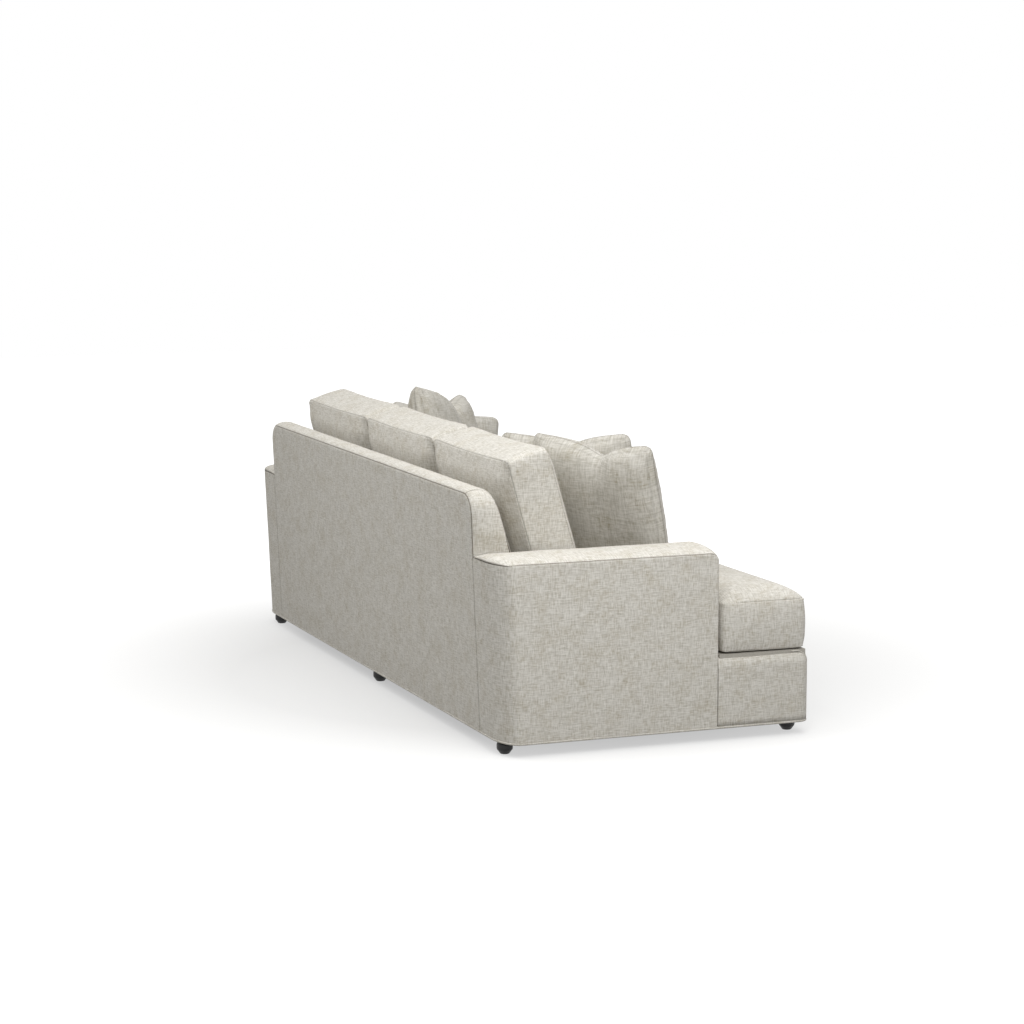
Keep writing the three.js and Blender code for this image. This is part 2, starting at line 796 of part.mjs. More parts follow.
function buildBase() {
  const armFront = armDepth + armFrontCrown + clearance;
  const front = (depth, x0, x1) => sideBoard(borderSection(depth, 1), x0, x1);
  const side = (outer, direction, depth0, depth1) => frontBoard(borderSection(outer, direction), depth0, depth1);
  const sideStart = cover + clearance;
  const rearOfChaiseFront = chaiseDepth - cover - clearance;
  const rearOfSeatFront = seatDepth - cover - clearance;
  piece("base_front_chaise", front(chaiseDepth, 0, chaiseWidth), fabricColour);
  piece("base_side_near", side(0, -1, armFront, rearOfChaiseFront), fabricColour);
  piece("base_side_step", side(chaiseWidth, 1, seatDepth + clearance, rearOfChaiseFront), fabricColour);
  const stepInside = chaiseWidth - sideStart + clearance;
  piece("base_front_seats", front(seatDepth, stepInside, length), fabricColour);
  piece("base_side_far", side(length, 1, armFront, rearOfSeatFront), fabricColour);
  const hemOuter = planBoard(planOutline(0, 0), hemHeight, hemHeight + hemWelt);
  const hemInner = planBoard(planOutline(hemThickness, 0), 0, 2 * hemHeight);
  piece("bottom_hem", subtractAll(hemOuter, [hemInner]), flangeColour);
}

// Black cloth stapled under the rails, pierced by the feet's bolts.
function buildDustCloth() {
  const bottom = dustClothTop - dustClothThickness;
  const cloth = planBoard(planOutline(cover + clearance, 0), bottom, dustClothTop);
  piece("dust_cloth", drilled(cloth, ...Object.keys(footPlaces)), clothColour);
}

// Felt pad and deck cloth over the springs, cut round the arms.
function buildDeck() {
  const rear = insideDepth(seatCushionBottom) + 2 * clearance;
  const ear = armDepth + armFrontCrown + 2 * clearance;
  const inset = cover + clearance;
  const side = armWidth + clearance;
  const outline = [
    [side, rear],
    [length - side, rear],
    [length - side, ear],
    [length - inset, ear],
    [length - inset, seatDepth - inset],
    [chaiseWidth - inset, seatDepth - inset],
    [chaiseWidth - inset, chaiseDepth - inset],
    [inset, chaiseDepth - inset],
    [inset, ear],
    [side, ear],
  ];
  piece("seat_deck", planBoard(outline, deckBottom, deckTop), clothColour);
}

// One zigzag spring from the rear seat rail to a front rail, lying on the rails' top edges.
function zigzagSpring(x, rearEnd, frontEnd, height) {
  const half = springWidth / 2;
  const count = 2 * Math.floor((frontEnd - rearEnd - 2 * clipLength) / springPitch);
  const run = (frontEnd - rearEnd) / (count + 1);
  const points = [[x - half, rearEnd], [x + half, rearEnd]];
  for (let i = 1; i <= count; i += 1) {
    const depth = rearEnd + run * i;
    const near = i % 2 ? x + half : x - half;
    points.push([near, depth - run / 4], [near, depth + run / 4]);
  }
  const last = points[points.length - 1][0];
  points.push([last, frontEnd], [2 * x - last, frontEnd]);
  const rings = points.map(([px, depth], i) => {
    const [ax, ad] = points[Math.max(0, i - 1)];
    const [bx, bd] = points[Math.min(points.length - 1, i + 1)];
    const heading = new THREE.Vector2(bx - ax, -(bd - ad)).normalize();
    return steps(0, 2 * Math.PI, 4).slice(0, 4).map((angle) => {
      const sideways = wireRadius * Math.cos(angle);
      const up = wireRadius * Math.sin(angle);
      return new THREE.Vector3(px - heading.y * sideways, -depth + heading.x * sideways, height + up);
    });
  });
  return loft(rings);
}

// The springs of one seat, tied by two cross wires and ended in clips on the rails.
function springSet(name, x0, x1, frontRail) {
  const height = railTop + clearance + clipThickness + wireRadius;
  const rearEnd = seatRailRear + seatRailThickness / 2;
  const frontEnd = frontRail + railThickness / 3;
  const clipLow = railTop + clearance;
  const clipHigh = clipLow + clipThickness + wireRadius;
  const parts = [];
  for (let i = 0; i < springsPerSeat; i += 1) {
    const x = x0 + ((x1 - x0) * (i + 0.5)) / springsPerSeat;
    parts.push(zigzagSpring(x, rearEnd, frontEnd, height));
    for (const depth of [rearEnd, frontEnd]) {
      const reach = clipLength / 2;
      parts.push(board(x - clipWidth / 2, x + clipWidth / 2, depth - reach, depth + reach, clipLow, clipHigh));
    }
  }
  const first = x0 + (x1 - x0) / springsPerSeat / 2 - springWidth / 2;
  const last = x1 - (x1 - x0) / springsPerSeat / 2 + springWidth / 2;
  for (const share of [1 / 3, 2 / 3]) {
    const depth = rearEnd + (frontEnd - rearEnd) * share;
    const low = height - tieWireSize / 2;
    parts.push(board(first, last, depth, depth + tieWireSize, low, low + tieWireSize));
  }
  piece(name, joinAll(parts), steelColour, 0.35, 1);
}

function buildSprings() {
  const middleEnd = stretcherX;
  springSet("springs_chaise", backInnerX, chaiseRailX, chaiseRailRear);
  springSet("springs_middle", chaiseRailInner, middleEnd, seatFrontRailRear);
  springSet("springs_far", middleEnd, backOuterX, seatFrontRailRear);
}

// Turned bun foot with a flat tread, a rim and its bolt.
function buildFeet() {
  const profile = [
    [0, 0],
    [footBaseRadius, 0],
    [footRadius - footRim, footFlare],
    [footRadius, footFlare + footRim],
    [footRadius, footTop - footFlare],
    [footRadius - footRim, footTop - footRim],
    [footRadius - footRim, footTop],
    [boltRadius, footTop],
    [boltRadius, railBottom + boltReach - clearance],
    [0, railBottom + boltReach - clearance],
  ].map(([radius, z]) => new THREE.Vector2(radius, z));
  for (const [name, [x, depth]] of Object.entries(footPlaces)) {
    const foot = new THREE.LatheGeometry(profile, 16).rotateX(Math.PI / 2);
    piece(name, foot.translate(x, -depth, 0), footColour, 0.45);
  }
}

const seatForms = {};
const backForms = {};

// Presses a soft form flat where it rests on a seat cushion.
function pressedOn(form, seatName) {
  return subtractAll(form, [seatForms[seatName].clone().translate(0, 0, clearance)]);
}

// Presses a pillow flat where it leans on a back cushion, and leaves it room to be lifted out.
function leanedOn(form, backName) {
  const cuts = liftShares.map((share) => {
    return backForms[backName].clone().translate(0, -clearance, -share * backCushionHeight);
  });
  return subtractAll(form, cuts);
}

// Seat cushions: a chaise cushion with an ear before the near arm, a plain one, one with a far ear.
function buildSeatCushions() {
  const rear = insideDepth(seatCushionBottom) + cushionGap;
  const earRear = armDepth + armFrontCrown + cushionGap;
  const nearSide = armWidth + cushionGap;
  const farSide = length - nearSide;
  const firstJoint = chaiseWidth;
  const secondJoint = chaiseWidth + seatWidth;
  const half = cushionGap / 2;
  const chaiseFront = chaiseDepth - seatFrontSetback;
  const seatFront = seatDepth - seatFrontSetback;
  function seat(name, xs, depths, keep, outline) {
    const ys = depths.map((depth) => -depth).reverse();
    const form = stuffedForm({
      xs,
      ys,
      keep: (i, j) => keep((xs[i] + xs[i + 1]) / 2, -(ys[j] + ys[j + 1]) / 2),
      outline: outline.map(([x, depth]) => [x, -depth]),
      low: seatCushionBottom,
      high: seatSeamHeight,
      lowCrown: 0,
      highCrown: seatCrown,
      reach: seatCrownReach,
      bulge: seatSideBulge,
      pull: seatPull,
    });
    seatForms[name] = form.clone();
    piece(name, form, fabricColour);
  }
  const bulge = seatSideBulge;
  const chaiseLeft = bulge;
  const chaiseRight = firstJoint - half - bulge;
  seat(
    "seat_cushion_chaise",
    [...steps(chaiseLeft, nearSide + bulge, 4), ...steps(nearSide + bulge, chaiseRight, 9).slice(1)],
    [...steps(rear + bulge, earRear + bulge, 7), ...steps(earRear + bulge, chaiseFront - bulge, 5).slice(1)],
    (x, depth) => x > nearSide + bulge || depth > earRear + bulge,
    [
      [nearSide + bulge, rear + bulge],
      [chaiseRight, rear + bulge],
      [chaiseRight, chaiseFront - bulge],
      [chaiseLeft, chaiseFront - bulge],
      [chaiseLeft, earRear + bulge],
      [nearSide + bulge, earRear + bulge],
    ],
  );
  const middleLeft = firstJoint + half + bulge;
  const middleRight = secondJoint - half - bulge;
  seat(
    "seat_cushion_middle",
    steps(middleLeft, middleRight, 10),
    steps(rear + bulge, seatFront - bulge, 8),
    () => true,
    [
      [middleLeft, rear + bulge],
      [middleRight, rear + bulge],
      [middleRight, seatFront - bulge],
      [middleLeft, seatFront - bulge],
    ],
  );
  const farLeft = secondJoint + half + bulge;
  const farRight = length - bulge;
  seat(
    "seat_cushion_far",
    [...steps(farLeft, farSide - bulge, 9), ...steps(farSide - bulge, farRight, 4).slice(1)],
    [...steps(rear + bulge, earRear + bulge, 7), ...steps(earRear + bulge, seatFront - bulge, 2).slice(1)],
    (x, depth) => x < farSide - bulge || depth > earRear + bulge,
    [
      [farLeft, rear + bulge],
      [farSide - bulge, rear + bulge],
      [farSide - bulge, earRear + bulge],
      [farRight, earRear + bulge],
      [farRight, seatFront - bulge],
      [farLeft, seatFront - bulge],
    ],
  );
}

// Back cushions lean on the back and stand on the seat cushions, cut flat where they rest.
function buildBackCushions() {
  const lean = THREE.MathUtils.degToRad(backCushionLean);
  const up = new THREE.Vector3(0, Math.sin(lean), Math.cos(lean));
  const forward = new THREE.Vector3(0, -Math.cos(lean), Math.sin(lean));
  const turn = new THREE.Matrix4().makeBasis(new THREE.Vector3(1, 0, 0), up, forward);
  const inset = cushionGap / 2 + backCushionBulge;
  const ground = board(0, length, 0, chaiseDepth, 0, seatSeamHeight);
  const spans = {
    back_cushion_near: [cushionsLeft, chaiseWidth],
    back_cushion_middle: [chaiseWidth, chaiseWidth + seatWidth],
    back_cushion_far: [chaiseWidth + seatWidth, cushionsRight],
  };
  for (const [name, [from, to]] of Object.entries(spans)) {
    const left = from + inset;
    const right = to - inset;
    const form = stuffedForm({
      xs: steps(left, right, 12),
      ys: steps(0, backCushionHeight, 8),
      keep: () => true,
      outline: [[left, 0], [right, 0], [right, backCushionHeight], [left, backCushionHeight]],
      low: 0,
      high: backCushionThickness,
      lowCrown: backCushionRearCrown,
      highCrown: backCushionFrontCrown,
      reach: backCushionReach,
      bulge: backCushionBulge,
      pull: backCushionPull,
    });
    form.applyMatrix4(turn).translate(0, -backCushionRearDepth, backCushionRearHeight);
    const seatName = name.replace("back_cushion", "seat_cushion").replace("near", "chaise");
    backForms[name] = form.clone();
    piece(name, pressedOn(subtractAll(form, [ground]), seatName), fabricColour);
  }
}

// Throw pillows: knife-edged squares with pointed ears and a dented top, leaning in the corners.
// Each is placed from the arm beside it and forwards of the back cushions' seam.
const pillows = {
  pillow_near_back: {
    seat: "seat_cushion_chaise",
    back: "back_cushion_near",
    far: false,
    fromArm: 309,
    forward: 169,
    width: 491,
    height: 492,
    sink: 16,
    stuffing: 122,
    facing: 60,
    lean: 16,
    roll: 1,
    chop: 60,
    chopSide: -38,
  },
  pillow_near_front: {
    seat: "seat_cushion_chaise",
    back: "back_cushion_near",
    far: false,
    fromArm: 518,
    forward: 156,
    width: 476,
    height: 484,
    sink: 10,
    stuffing: 108,
    facing: 45,
    lean: 17,
    roll: -2,
    chop: 56,
    chopSide: 0,
  },
  pillow_far_back: {
    seat: "seat_cushion_far",
    back: "back_cushion_far",
    far: true,
    fromArm: 70,
    forward: 262,
    width: 452,
    height: 376,
    sink: 32,
    stuffing: 104,
    facing: 181,
    lean: 14,
    roll: -11,
    chop: 50,
    chopSide: 0,
  },
  pillow_far_front: {
    seat: "seat_cushion_far",
    back: "back_cushion_far",
    far: true,
    fromArm: 382,
    forward: 183,
    width: 490,
    height: 483,
    sink: 16,
    stuffing: 132,
    facing: 130,
    lean: 15,
    roll: -8,
    chop: 92,
    chopSide: 58,
  },
};

function buildPillows() {
  for (const [name, pillow] of Object.entries(pillows)) {
    const halfWidth = pillow.width / 2;
    const halfHeight = pillow.height / 2;
    const form = stuffedForm({
      xs: steps(-halfWidth, halfWidth, 12),
      ys: steps(-halfHeight, halfHeight, 10),
      keep: () => true,
      outline: [
        [-halfWidth, -halfHeight],
        [halfWidth, -halfHeight],
        [halfWidth, halfHeight],
        [-halfWidth, halfHeight],
      ],
      low: -pillowEdge / 2,
      high: pillowEdge / 2,
      lowCrown: (pillow.stuffing - pillowEdge) / 2,
      highCrown: (pillow.stuffing - pillowEdge) / 2,
      reach: halfHeight,
      fullness: pillowFullnessShare,
      bulge: 0,
      pull: pillowPull,
      shift: (x, y, acrossX, acrossY) => {
        const aside = (x - pillow.chopSide) / pillowChopWidth;
        return -pillow.chop * acrossY ** pillowChopFall * Math.exp(-(aside ** 2));
      },
    });
    const facing = THREE.MathUtils.degToRad(pillow.facing);
    const lean = THREE.MathUtils.degToRad(pillow.lean);
    const level = new THREE.Vector3(Math.cos(facing), -Math.sin(facing), 0);
    const vertical = new THREE.Vector3(0, 0, 1);
    const up = vertical.clone().multiplyScalar(Math.cos(lean)).addScaledVector(level, -Math.sin(lean));
    const normal = level.clone().multiplyScalar(Math.cos(lean)).addScaledVector(vertical, Math.sin(lean));
    const across = new THREE.Vector3().crossVectors(up, normal);
    form.rotateZ(THREE.MathUtils.degToRad(pillow.roll));
    form.applyMatrix4(new THREE.Matrix4().makeBasis(across, up, normal));
    form.computeBoundingBox();
    const lift = seatTop - pillow.sink - form.boundingBox.min.z;
    const x = pillow.far ? length - armWidth - pillow.fromArm : armWidth + pillow.fromArm;
    form.translate(x, -(backCushionFront + pillow.forward), lift);
    piece(name, leanedOn(pressedOn(form, pillow.seat), pillow.back), flangeColour);
  }
}

buildRails();
buildCornerBlocks();
buildBackFrame();
buildArms();
buildBackCovers();
buildBase();
buildDustCloth();
buildDeck();
buildSprings();
buildFeet();
buildSeatCushions();
buildBackCushions();
buildPillows();

// The origin lies under the middle of the whole sofa, on the floor.
const extent = new THREE.Box3().setFromObject(sofa);
const middle = extent.getCenter(new THREE.Vector3());
sofa.position.set(-middle.x, -middle.y, 0);

export default sofa;
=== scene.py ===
# %% [markdown]
# A three-seat sofa with a short chaise end is upholstered over a timber frame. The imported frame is
# loaded first, because every cover and cushion that this lesson makes has to lie on it and ride with it.

# %% The frame
import bpy
import bmesh
import math
from mathutils import Matrix, Vector, kdtree, noise
from mathutils.bvhtree import BVHTree


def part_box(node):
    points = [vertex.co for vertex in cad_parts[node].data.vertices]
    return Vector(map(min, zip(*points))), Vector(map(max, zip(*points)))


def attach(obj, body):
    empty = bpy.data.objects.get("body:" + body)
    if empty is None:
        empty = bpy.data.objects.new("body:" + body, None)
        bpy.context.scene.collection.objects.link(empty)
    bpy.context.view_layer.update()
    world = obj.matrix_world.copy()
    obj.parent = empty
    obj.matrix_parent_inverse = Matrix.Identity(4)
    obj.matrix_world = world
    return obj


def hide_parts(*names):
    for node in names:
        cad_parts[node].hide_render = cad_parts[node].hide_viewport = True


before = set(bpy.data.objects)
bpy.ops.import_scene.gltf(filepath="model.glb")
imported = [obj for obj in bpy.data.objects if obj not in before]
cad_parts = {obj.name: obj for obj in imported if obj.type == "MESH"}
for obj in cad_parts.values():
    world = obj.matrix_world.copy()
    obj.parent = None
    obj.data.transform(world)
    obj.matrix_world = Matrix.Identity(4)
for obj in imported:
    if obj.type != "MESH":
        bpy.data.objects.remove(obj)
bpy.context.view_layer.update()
MM = 0.001
NEAR_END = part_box("bottom_hem")[0].x
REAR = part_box("bottom_hem")[1].y
LENGTH = (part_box("bottom_hem")[1].x - NEAR_END) / MM
print("frame:", len(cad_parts), "nodes, length", round(LENGTH), "mm")

# %% [markdown]
# Sizes are kept in millimetres, as an upholsterer would measure them: along the sofa from its near
# end, inwards from the rear hem, and up from the floor. One function turns them into the scene's metres.

# %% Sizes of the covers
SEAT_DEPTH = 841
CHAISE_DEPTH = 1070
CHAISE_WIDTH = 977
COVER_BOTTOM = 50
BASE_TOP = 279
SEAT_TOP = 484
ARM_WIDTH = 224
ARM_DEPTH = 737
ARM_SEAM = 617
ARM_CROWN = 21
ARM_FRONT_CROWN = 9
ARM_CORNER = 28
REAR_CORNER = 60
REAR_SWEEP = 125
BACK_SEAM = 813
BACK_CROWN = 17
BACK_CORNER = 62
BACK_TOP = 86
REAR_LEAN = 0.0438
INSIDE_LEAN = 0.3
HEM_HEIGHT = 42
UP = Vector((0, 0, 1))


def at(along, inwards, up):
    """A place measured in millimetres on the sofa, as a point of the scene."""
    return Vector((NEAR_END + along * MM, REAR - inwards * MM, up * MM))


def rear_face(up):
    """How far inwards the raked rear face lies at a height."""
    return -REAR_LEAN * (up - HEM_HEIGHT)


def inside_face(up):
    """How far inwards the front of the tight back lies at a height."""
    return rear_face(BACK_SEAM) + BACK_TOP + INSIDE_LEAN * (BACK_SEAM - up)


print("rear face leans", round(-rear_face(BACK_SEAM), 1), "mm over its height")

# %% [markdown]
# The camera comes early, because every later look is judged through it. It stands behind the near
# end, a little above the back, and its lens and aim were worked out from straight seams of the sofa.

# %% Camera
CAMERA_PLACE = (-9.36925, 3.590965, 1.99694)
CAMERA_TURN = 21.097
CAMERA_DIP = 8.006
CAMERA_LENS = 98.46

camera = bpy.data.objects.new("camera", bpy.data.cameras.new("camera"))
bpy.context.scene.collection.objects.link(camera)
camera.data.lens = CAMERA_LENS
camera.data.clip_end = 60
turn, dip = math.radians(CAMERA_TURN), math.radians(CAMERA_DIP)
look = Vector((math.cos(turn) * math.cos(dip), -math.sin(turn) * math.cos(dip), -math.sin(dip)))
camera.location = CAMERA_PLACE
camera.rotation_euler = look.to_track_quat("-Z", "Y").to_euler()
bpy.context.scene.camera = camera
print("camera lens", camera.data.lens, "mm, looking", [round(c, 3) for c in look])

# %% [markdown]
# Light and materials are both trees of small nodes. One function adds a node with all its settings, so
# a tree reads as a list of what it does. Colours are written as a painter's hex values, and one
# function turns them into the linear ones that light is reckoned in.

# %% Node helper and colour helper
def node(tree, kind, links=(), stops=(), **settings):
    """Adds one shader node: settings name its properties or inputs, links join it up, stops fill its ramp."""
    made = tree.nodes.new(kind)
    for key, value in settings.items():
        if hasattr(made, key):
            setattr(made, key, value)
        else:
            socket = int(key[3:]) if key.startswith("in_") else key.replace("_", " ")
            made.inputs[socket].default_value = value
    for socket, source in dict(links).items():
        tree.links.new(source, made.inputs[socket])
    if stops:
        elements = made.color_ramp.elements
        while len(elements) < len(stops):
            elements.new(0.5)
        for element, (place, colour) in zip(elements, stops):
            element.position = place
            element.color = linear(colour)
    return made


def linear(hexcolour):
    """An sRGB hex colour as the linear colour that Blender's shaders use."""
    parts = [int(hexcolour[i:i + 2], 16) / 255 for i in (1, 3, 5)]
    return [c / 12.92 if c <= 0.04045 else ((c + 0.055) / 1.055) ** 2.4 for c in parts] + [1]


def new_material(name, roughness, ior=1.5, **settings):
    """A material with its Principled shader set, and a tree to add the pattern to."""
    material = bpy.data.materials.new(name)
    material.use_nodes = True
    shader = material.node_tree.nodes["Principled BSDF"]
    shader.inputs["Roughness"].default_value = roughness
    shader.inputs["IOR"].default_value = ior
    for key, value in settings.items():
        shader.inputs[key.replace("_", " ")].default_value = value
    return material, material.node_tree, shader


print("white is", linear("#ffffff"))

# %% [markdown]
# A studio sweep has no corner and no edge in view, so the sofa seems to stand on white paper. The
# world is white where the camera looks straight at it, and a dimmer pale sky for the rays that light
# the sofa, so the cloth keeps its own colour. Three soft boxes give the light a direction.

# %% Studio
SKY_STRENGTH = 0.54


def seen_directly(tree):
    """1 where the camera, a gloss or a clear piece looks, and 0 for the rays that light the sofa."""
    rays = node(tree, "ShaderNodeLightPath").outputs
    seen = rays["Is Camera Ray"]
    for ray in ("Is Glossy Ray", "Is Transmission Ray"):
        seen = node(tree, "ShaderNodeMath", {0: seen, 1: rays[ray]}, operation="MAXIMUM").outputs[0]
    return seen


def lamp(name, place, target, size, watts):
    """A soft box: a square area light aimed at a point."""
    data = bpy.data.lights.new(name, "AREA")
    data.size = size
    data.energy = watts
    soft_box = bpy.data.objects.new(name, data)
    soft_box.visible_camera = False
    bpy.context.scene.collection.objects.link(soft_box)
    soft_box.location = place
    soft_box.rotation_euler = (Vector(target) - Vector(place)).to_track_quat("-Z", "Y").to_euler()


bpy.context.scene.view_settings.view_transform = "Standard"
world = bpy.data.worlds.new("studio")
bpy.context.scene.world = world
world.use_nodes = True
tree = world.node_tree
tree.nodes.clear()
sky = node(tree, "ShaderNodeBackground", Strength=SKY_STRENGTH, Color=linear("#fdfcfb"))
paper = node(tree, "ShaderNodeBackground", Strength=1.0, Color=linear("#ffffff"))
shown = node(tree, "ShaderNodeMixShader", {0: seen_directly(tree), 1: sky.outputs[0], 2: paper.outputs[0]})
node(tree, "ShaderNodeOutputWorld", {"Surface": shown.outputs[0]})
lamp("overhead_soft_box", (-0.4, -0.6, 4.6), (0, 0, 0.4), 4.0, 67)
lamp("near_end_soft_box", (-2.9, 0.2, 2.2), (-1.3, 0, 0.65), 1.5, 36)
lamp("rear_soft_box", (-0.2, 2.2, 3.2), (0, 0.4, 0.6), 2.4, 43)
print("sky strength", SKY_STRENGTH, "and", len(bpy.data.lights), "soft boxes")

# %% [markdown]
# Paper under a sofa is darkest close to it. The floor is a mid grey that the lamps light, with a glow
# added for the camera alone. The glow grows with the distance from the sofa, so that the floor turns
# to pure white before its edge shows, and the soft shadow stays.

# %% Floor
FLOOR_HALF = 14
PAPER = "#a2a2a1"
NEAR_GLOW, FAR_GLOW = 0.48, 0.95
GLOW_STARTS, GLOW_ENDS = 1.0, 2.7

floor_mesh = bmesh.new()
bmesh.ops.create_grid(floor_mesh, x_segments=1, y_segments=1, size=FLOOR_HALF)
floor_data = bpy.data.meshes.new("studio_floor")
floor_mesh.to_mesh(floor_data)
floor_mesh.free()
floor = bpy.data.objects.new("studio_floor", floor_data)
bpy.context.scene.collection.objects.link(floor)
material = bpy.data.materials.new("white studio paper")
material.use_nodes = True
tree = material.node_tree
tree.nodes.clear()
place = node(tree, "ShaderNodeTexCoord").outputs["Object"]
away = node(tree, "ShaderNodeVectorMath", {0: place}, operation="LENGTH").outputs["Value"]
spread = dict(From_Min=GLOW_STARTS, From_Max=GLOW_ENDS, To_Min=NEAR_GLOW, To_Max=FAR_GLOW)
grown = node(tree, "ShaderNodeMapRange", {"Value": away}, **spread).outputs[0]
strength = node(tree, "ShaderNodeMath", {0: seen_directly(tree), 1: grown}, operation="MULTIPLY")
glow = node(tree, "ShaderNodeEmission", {"Strength": strength.outputs[0]})
paper = node(tree, "ShaderNodeBsdfDiffuse", Color=linear(PAPER))
lit = node(tree, "ShaderNodeAddShader", {0: paper.outputs[0], 1: glow.outputs[0]})
node(tree, "ShaderNodeOutputMaterial", {"Surface": lit.outputs[0]})
floor_data.materials.append(material)
print("floor", 2 * FLOOR_HALF, "m across")

# %% [markdown]
# The cover is a heathered linen-look upholstery cloth: a plain weave of pale oatmeal yarn in which some
# yarns are tan or brown. From across a room the eye sees short light and dark dashes that run along
# both yarns, soft tan clouds, and almost no shine. A real yarn is about 0.5 mm thick, too fine to
# show here, so the yarn is drawn as thick as a slub. Each face is given two coordinates, one along
# each yarn, picked by the way the face looks, so the dashes run straight on every side of the sofa.

# %% Linen-look upholstery cloth
YARN = 2.5
SLUB = 24
CLOUD = 70
FLECK = 6
TAN_STRENGTH = 0.6


def weave_coordinates(tree):
    """Two lengths along the yarns in metres: the face's own pair of object axes, as one vector."""
    coordinates = node(tree, "ShaderNodeTexCoord").outputs
    place = node(tree, "ShaderNodeSeparateXYZ", {0: coordinates["Object"]}).outputs
    facing = node(tree, "ShaderNodeSeparateXYZ", {0: coordinates["Normal"]}).outputs
    size = [node(tree, "ShaderNodeMath", {0: facing[i]}, operation="ABSOLUTE").outputs[0] for i in range(3)]
    pairs = []
    for looks, rest, usual in ((0, (1, 2), 0), (2, (0, 1), 2)):
        larger = node(tree, "ShaderNodeMath", {0: size[rest[0]], 1: size[rest[1]]}, operation="MAXIMUM")
        most = node(tree, "ShaderNodeMath", {0: size[looks], 1: larger.outputs[0]}, operation="GREATER_THAN")
        sources = {0: most.outputs[0], 2: place[usual], 3: place[1]}
        pairs.append(node(tree, "ShaderNodeMix", sources, data_type="FLOAT").outputs[0])
    return node(tree, "ShaderNodeCombineXYZ", {0: pairs[0], 1: pairs[1]}).outputs[0]


def dashes(tree, weave, across, along, detail):
    """Noise drawn out into dashes: so many millimetres across and along the yarns."""
    drawn = node(tree, "ShaderNodeMapping", {"Vector": weave}, Scale=(1000 / across, 1000 / along, 1))
    slubs = node(tree, "ShaderNodeTexNoise", {0: drawn.outputs[0]}, Scale=1.0, Detail=detail, Roughness=0.6)
    return slubs.outputs[0]


def halfway(tree, a, b):
    """The mean of two patterns."""
    total = node(tree, "ShaderNodeMath", {0: a, 1: b}, operation="ADD").outputs[0]
    return node(tree, "ShaderNodeMath", {0: total}, operation="MULTIPLY", in_1=0.5).outputs[0]


def crossed(tree, weave, across, along, detail=2.0):
    """The mean of dashes along the one yarn and along the other."""
    one = dashes(tree, weave, across, along, detail)
    return halfway(tree, one, dashes(tree, weave, along, across, detail))


def upholstery_cloth(name, pale, middle, dark, tan, laid=False):
    """Heathered linen-look cloth in three tones of yarn, with clouds and flecks of a fourth."""
    material, tree, shader = new_material(name, 0.92, Specular_IOR_Level=0.25, Sheen_Weight=0.05)
    if laid:
        weave = node(tree, "ShaderNodeAttribute", attribute_name="weave").outputs["Vector"]
    else:
        weave = weave_coordinates(tree)
    ramp, mix = "ShaderNodeValToRGB", "ShaderNodeMix"
    fine = crossed(tree, weave, YARN, SLUB)
    broad = crossed(tree, weave, 2 * YARN, 2 * SLUB)
    thin = node(tree, ramp, {0: fine}, ((0.38, dark), (0.5, middle), (0.61, pale))).outputs[0]
    thick = node(tree, ramp, {0: broad}, ((0.4, dark), (0.5, middle), (0.6, pale))).outputs[0]
    yarns = node(tree, mix, {6: thin, 7: thick}, data_type="RGBA", in_0=0.5).outputs[2]
    cloud = node(tree, "ShaderNodeTexNoise", {0: weave}, Scale=1000 / CLOUD, Detail=4.0, Roughness=0.6)
    fleck = halfway(tree, crossed(tree, weave, FLECK, 3 * FLECK, 3.0), cloud.outputs[0])
    flecked = node(tree, ramp, {0: fleck}, ((0.48, "#000000"), (0.58, "#e2e2e2"))).outputs[0]
    brown = node(tree, ramp, {0: fine}, ((0.4, tan), (0.6, middle))).outputs[0]
    tanned = node(tree, mix, {6: yarns, 7: brown}, data_type="RGBA", in_0=TAN_STRENGTH).outputs[2]
    heather = node(tree, mix, {0: flecked, 6: yarns, 7: tanned}, data_type="RGBA").outputs[2]
    # Painted shade: the seam attribute multiplies the cloth's colour towards #78726a along seams and
    # stitches, where the fold lies in shade.
    seam = node(tree, "ShaderNodeAttribute", attribute_name="seam").outputs["Fac"]
    shadow = node(tree, ramp, {0: seam}, ((0.0, "#ffffff"), (1.0, "#78726a"))).outputs[0]
    sewn = node(tree, mix, {6: heather, 7: shadow}, data_type="RGBA", blend_type="MULTIPLY", in_0=1.0)
    tree.links.new(sewn.outputs[2], shader.inputs["Base Color"])
    bump = node(tree, "ShaderNodeBump", {"Height": fine}, Strength=0.4, Distance=1.2 * MM)
    tree.links.new(bump.outputs[0], shader.inputs["Normal"])
    rough = node(tree, "ShaderNodeMapRange", {"Value": fine}, To_Min=0.86, To_Max=0.98)
    tree.links.new(rough.outputs[0], shader.inputs["Roughness"])
    return material


cover_cloth = upholstery_cloth(
    "heathered linen-look upholstery cloth", "#d9d6cf", "#cac7bf", "#afaa9f", "#a09479",
)
# The pillow cloth is the cover cloth with every tone a little darker; the darkening is painted shade on the
# pillows.
shaded_pillow_cloth = upholstery_cloth(
    "heathered linen-look pillow cloth", "#cfccc5", "#bfbcb4", "#a39f94", "#948a71", laid=True,
)
print("cloth yarn", YARN, "mm, slub", SLUB, "mm")
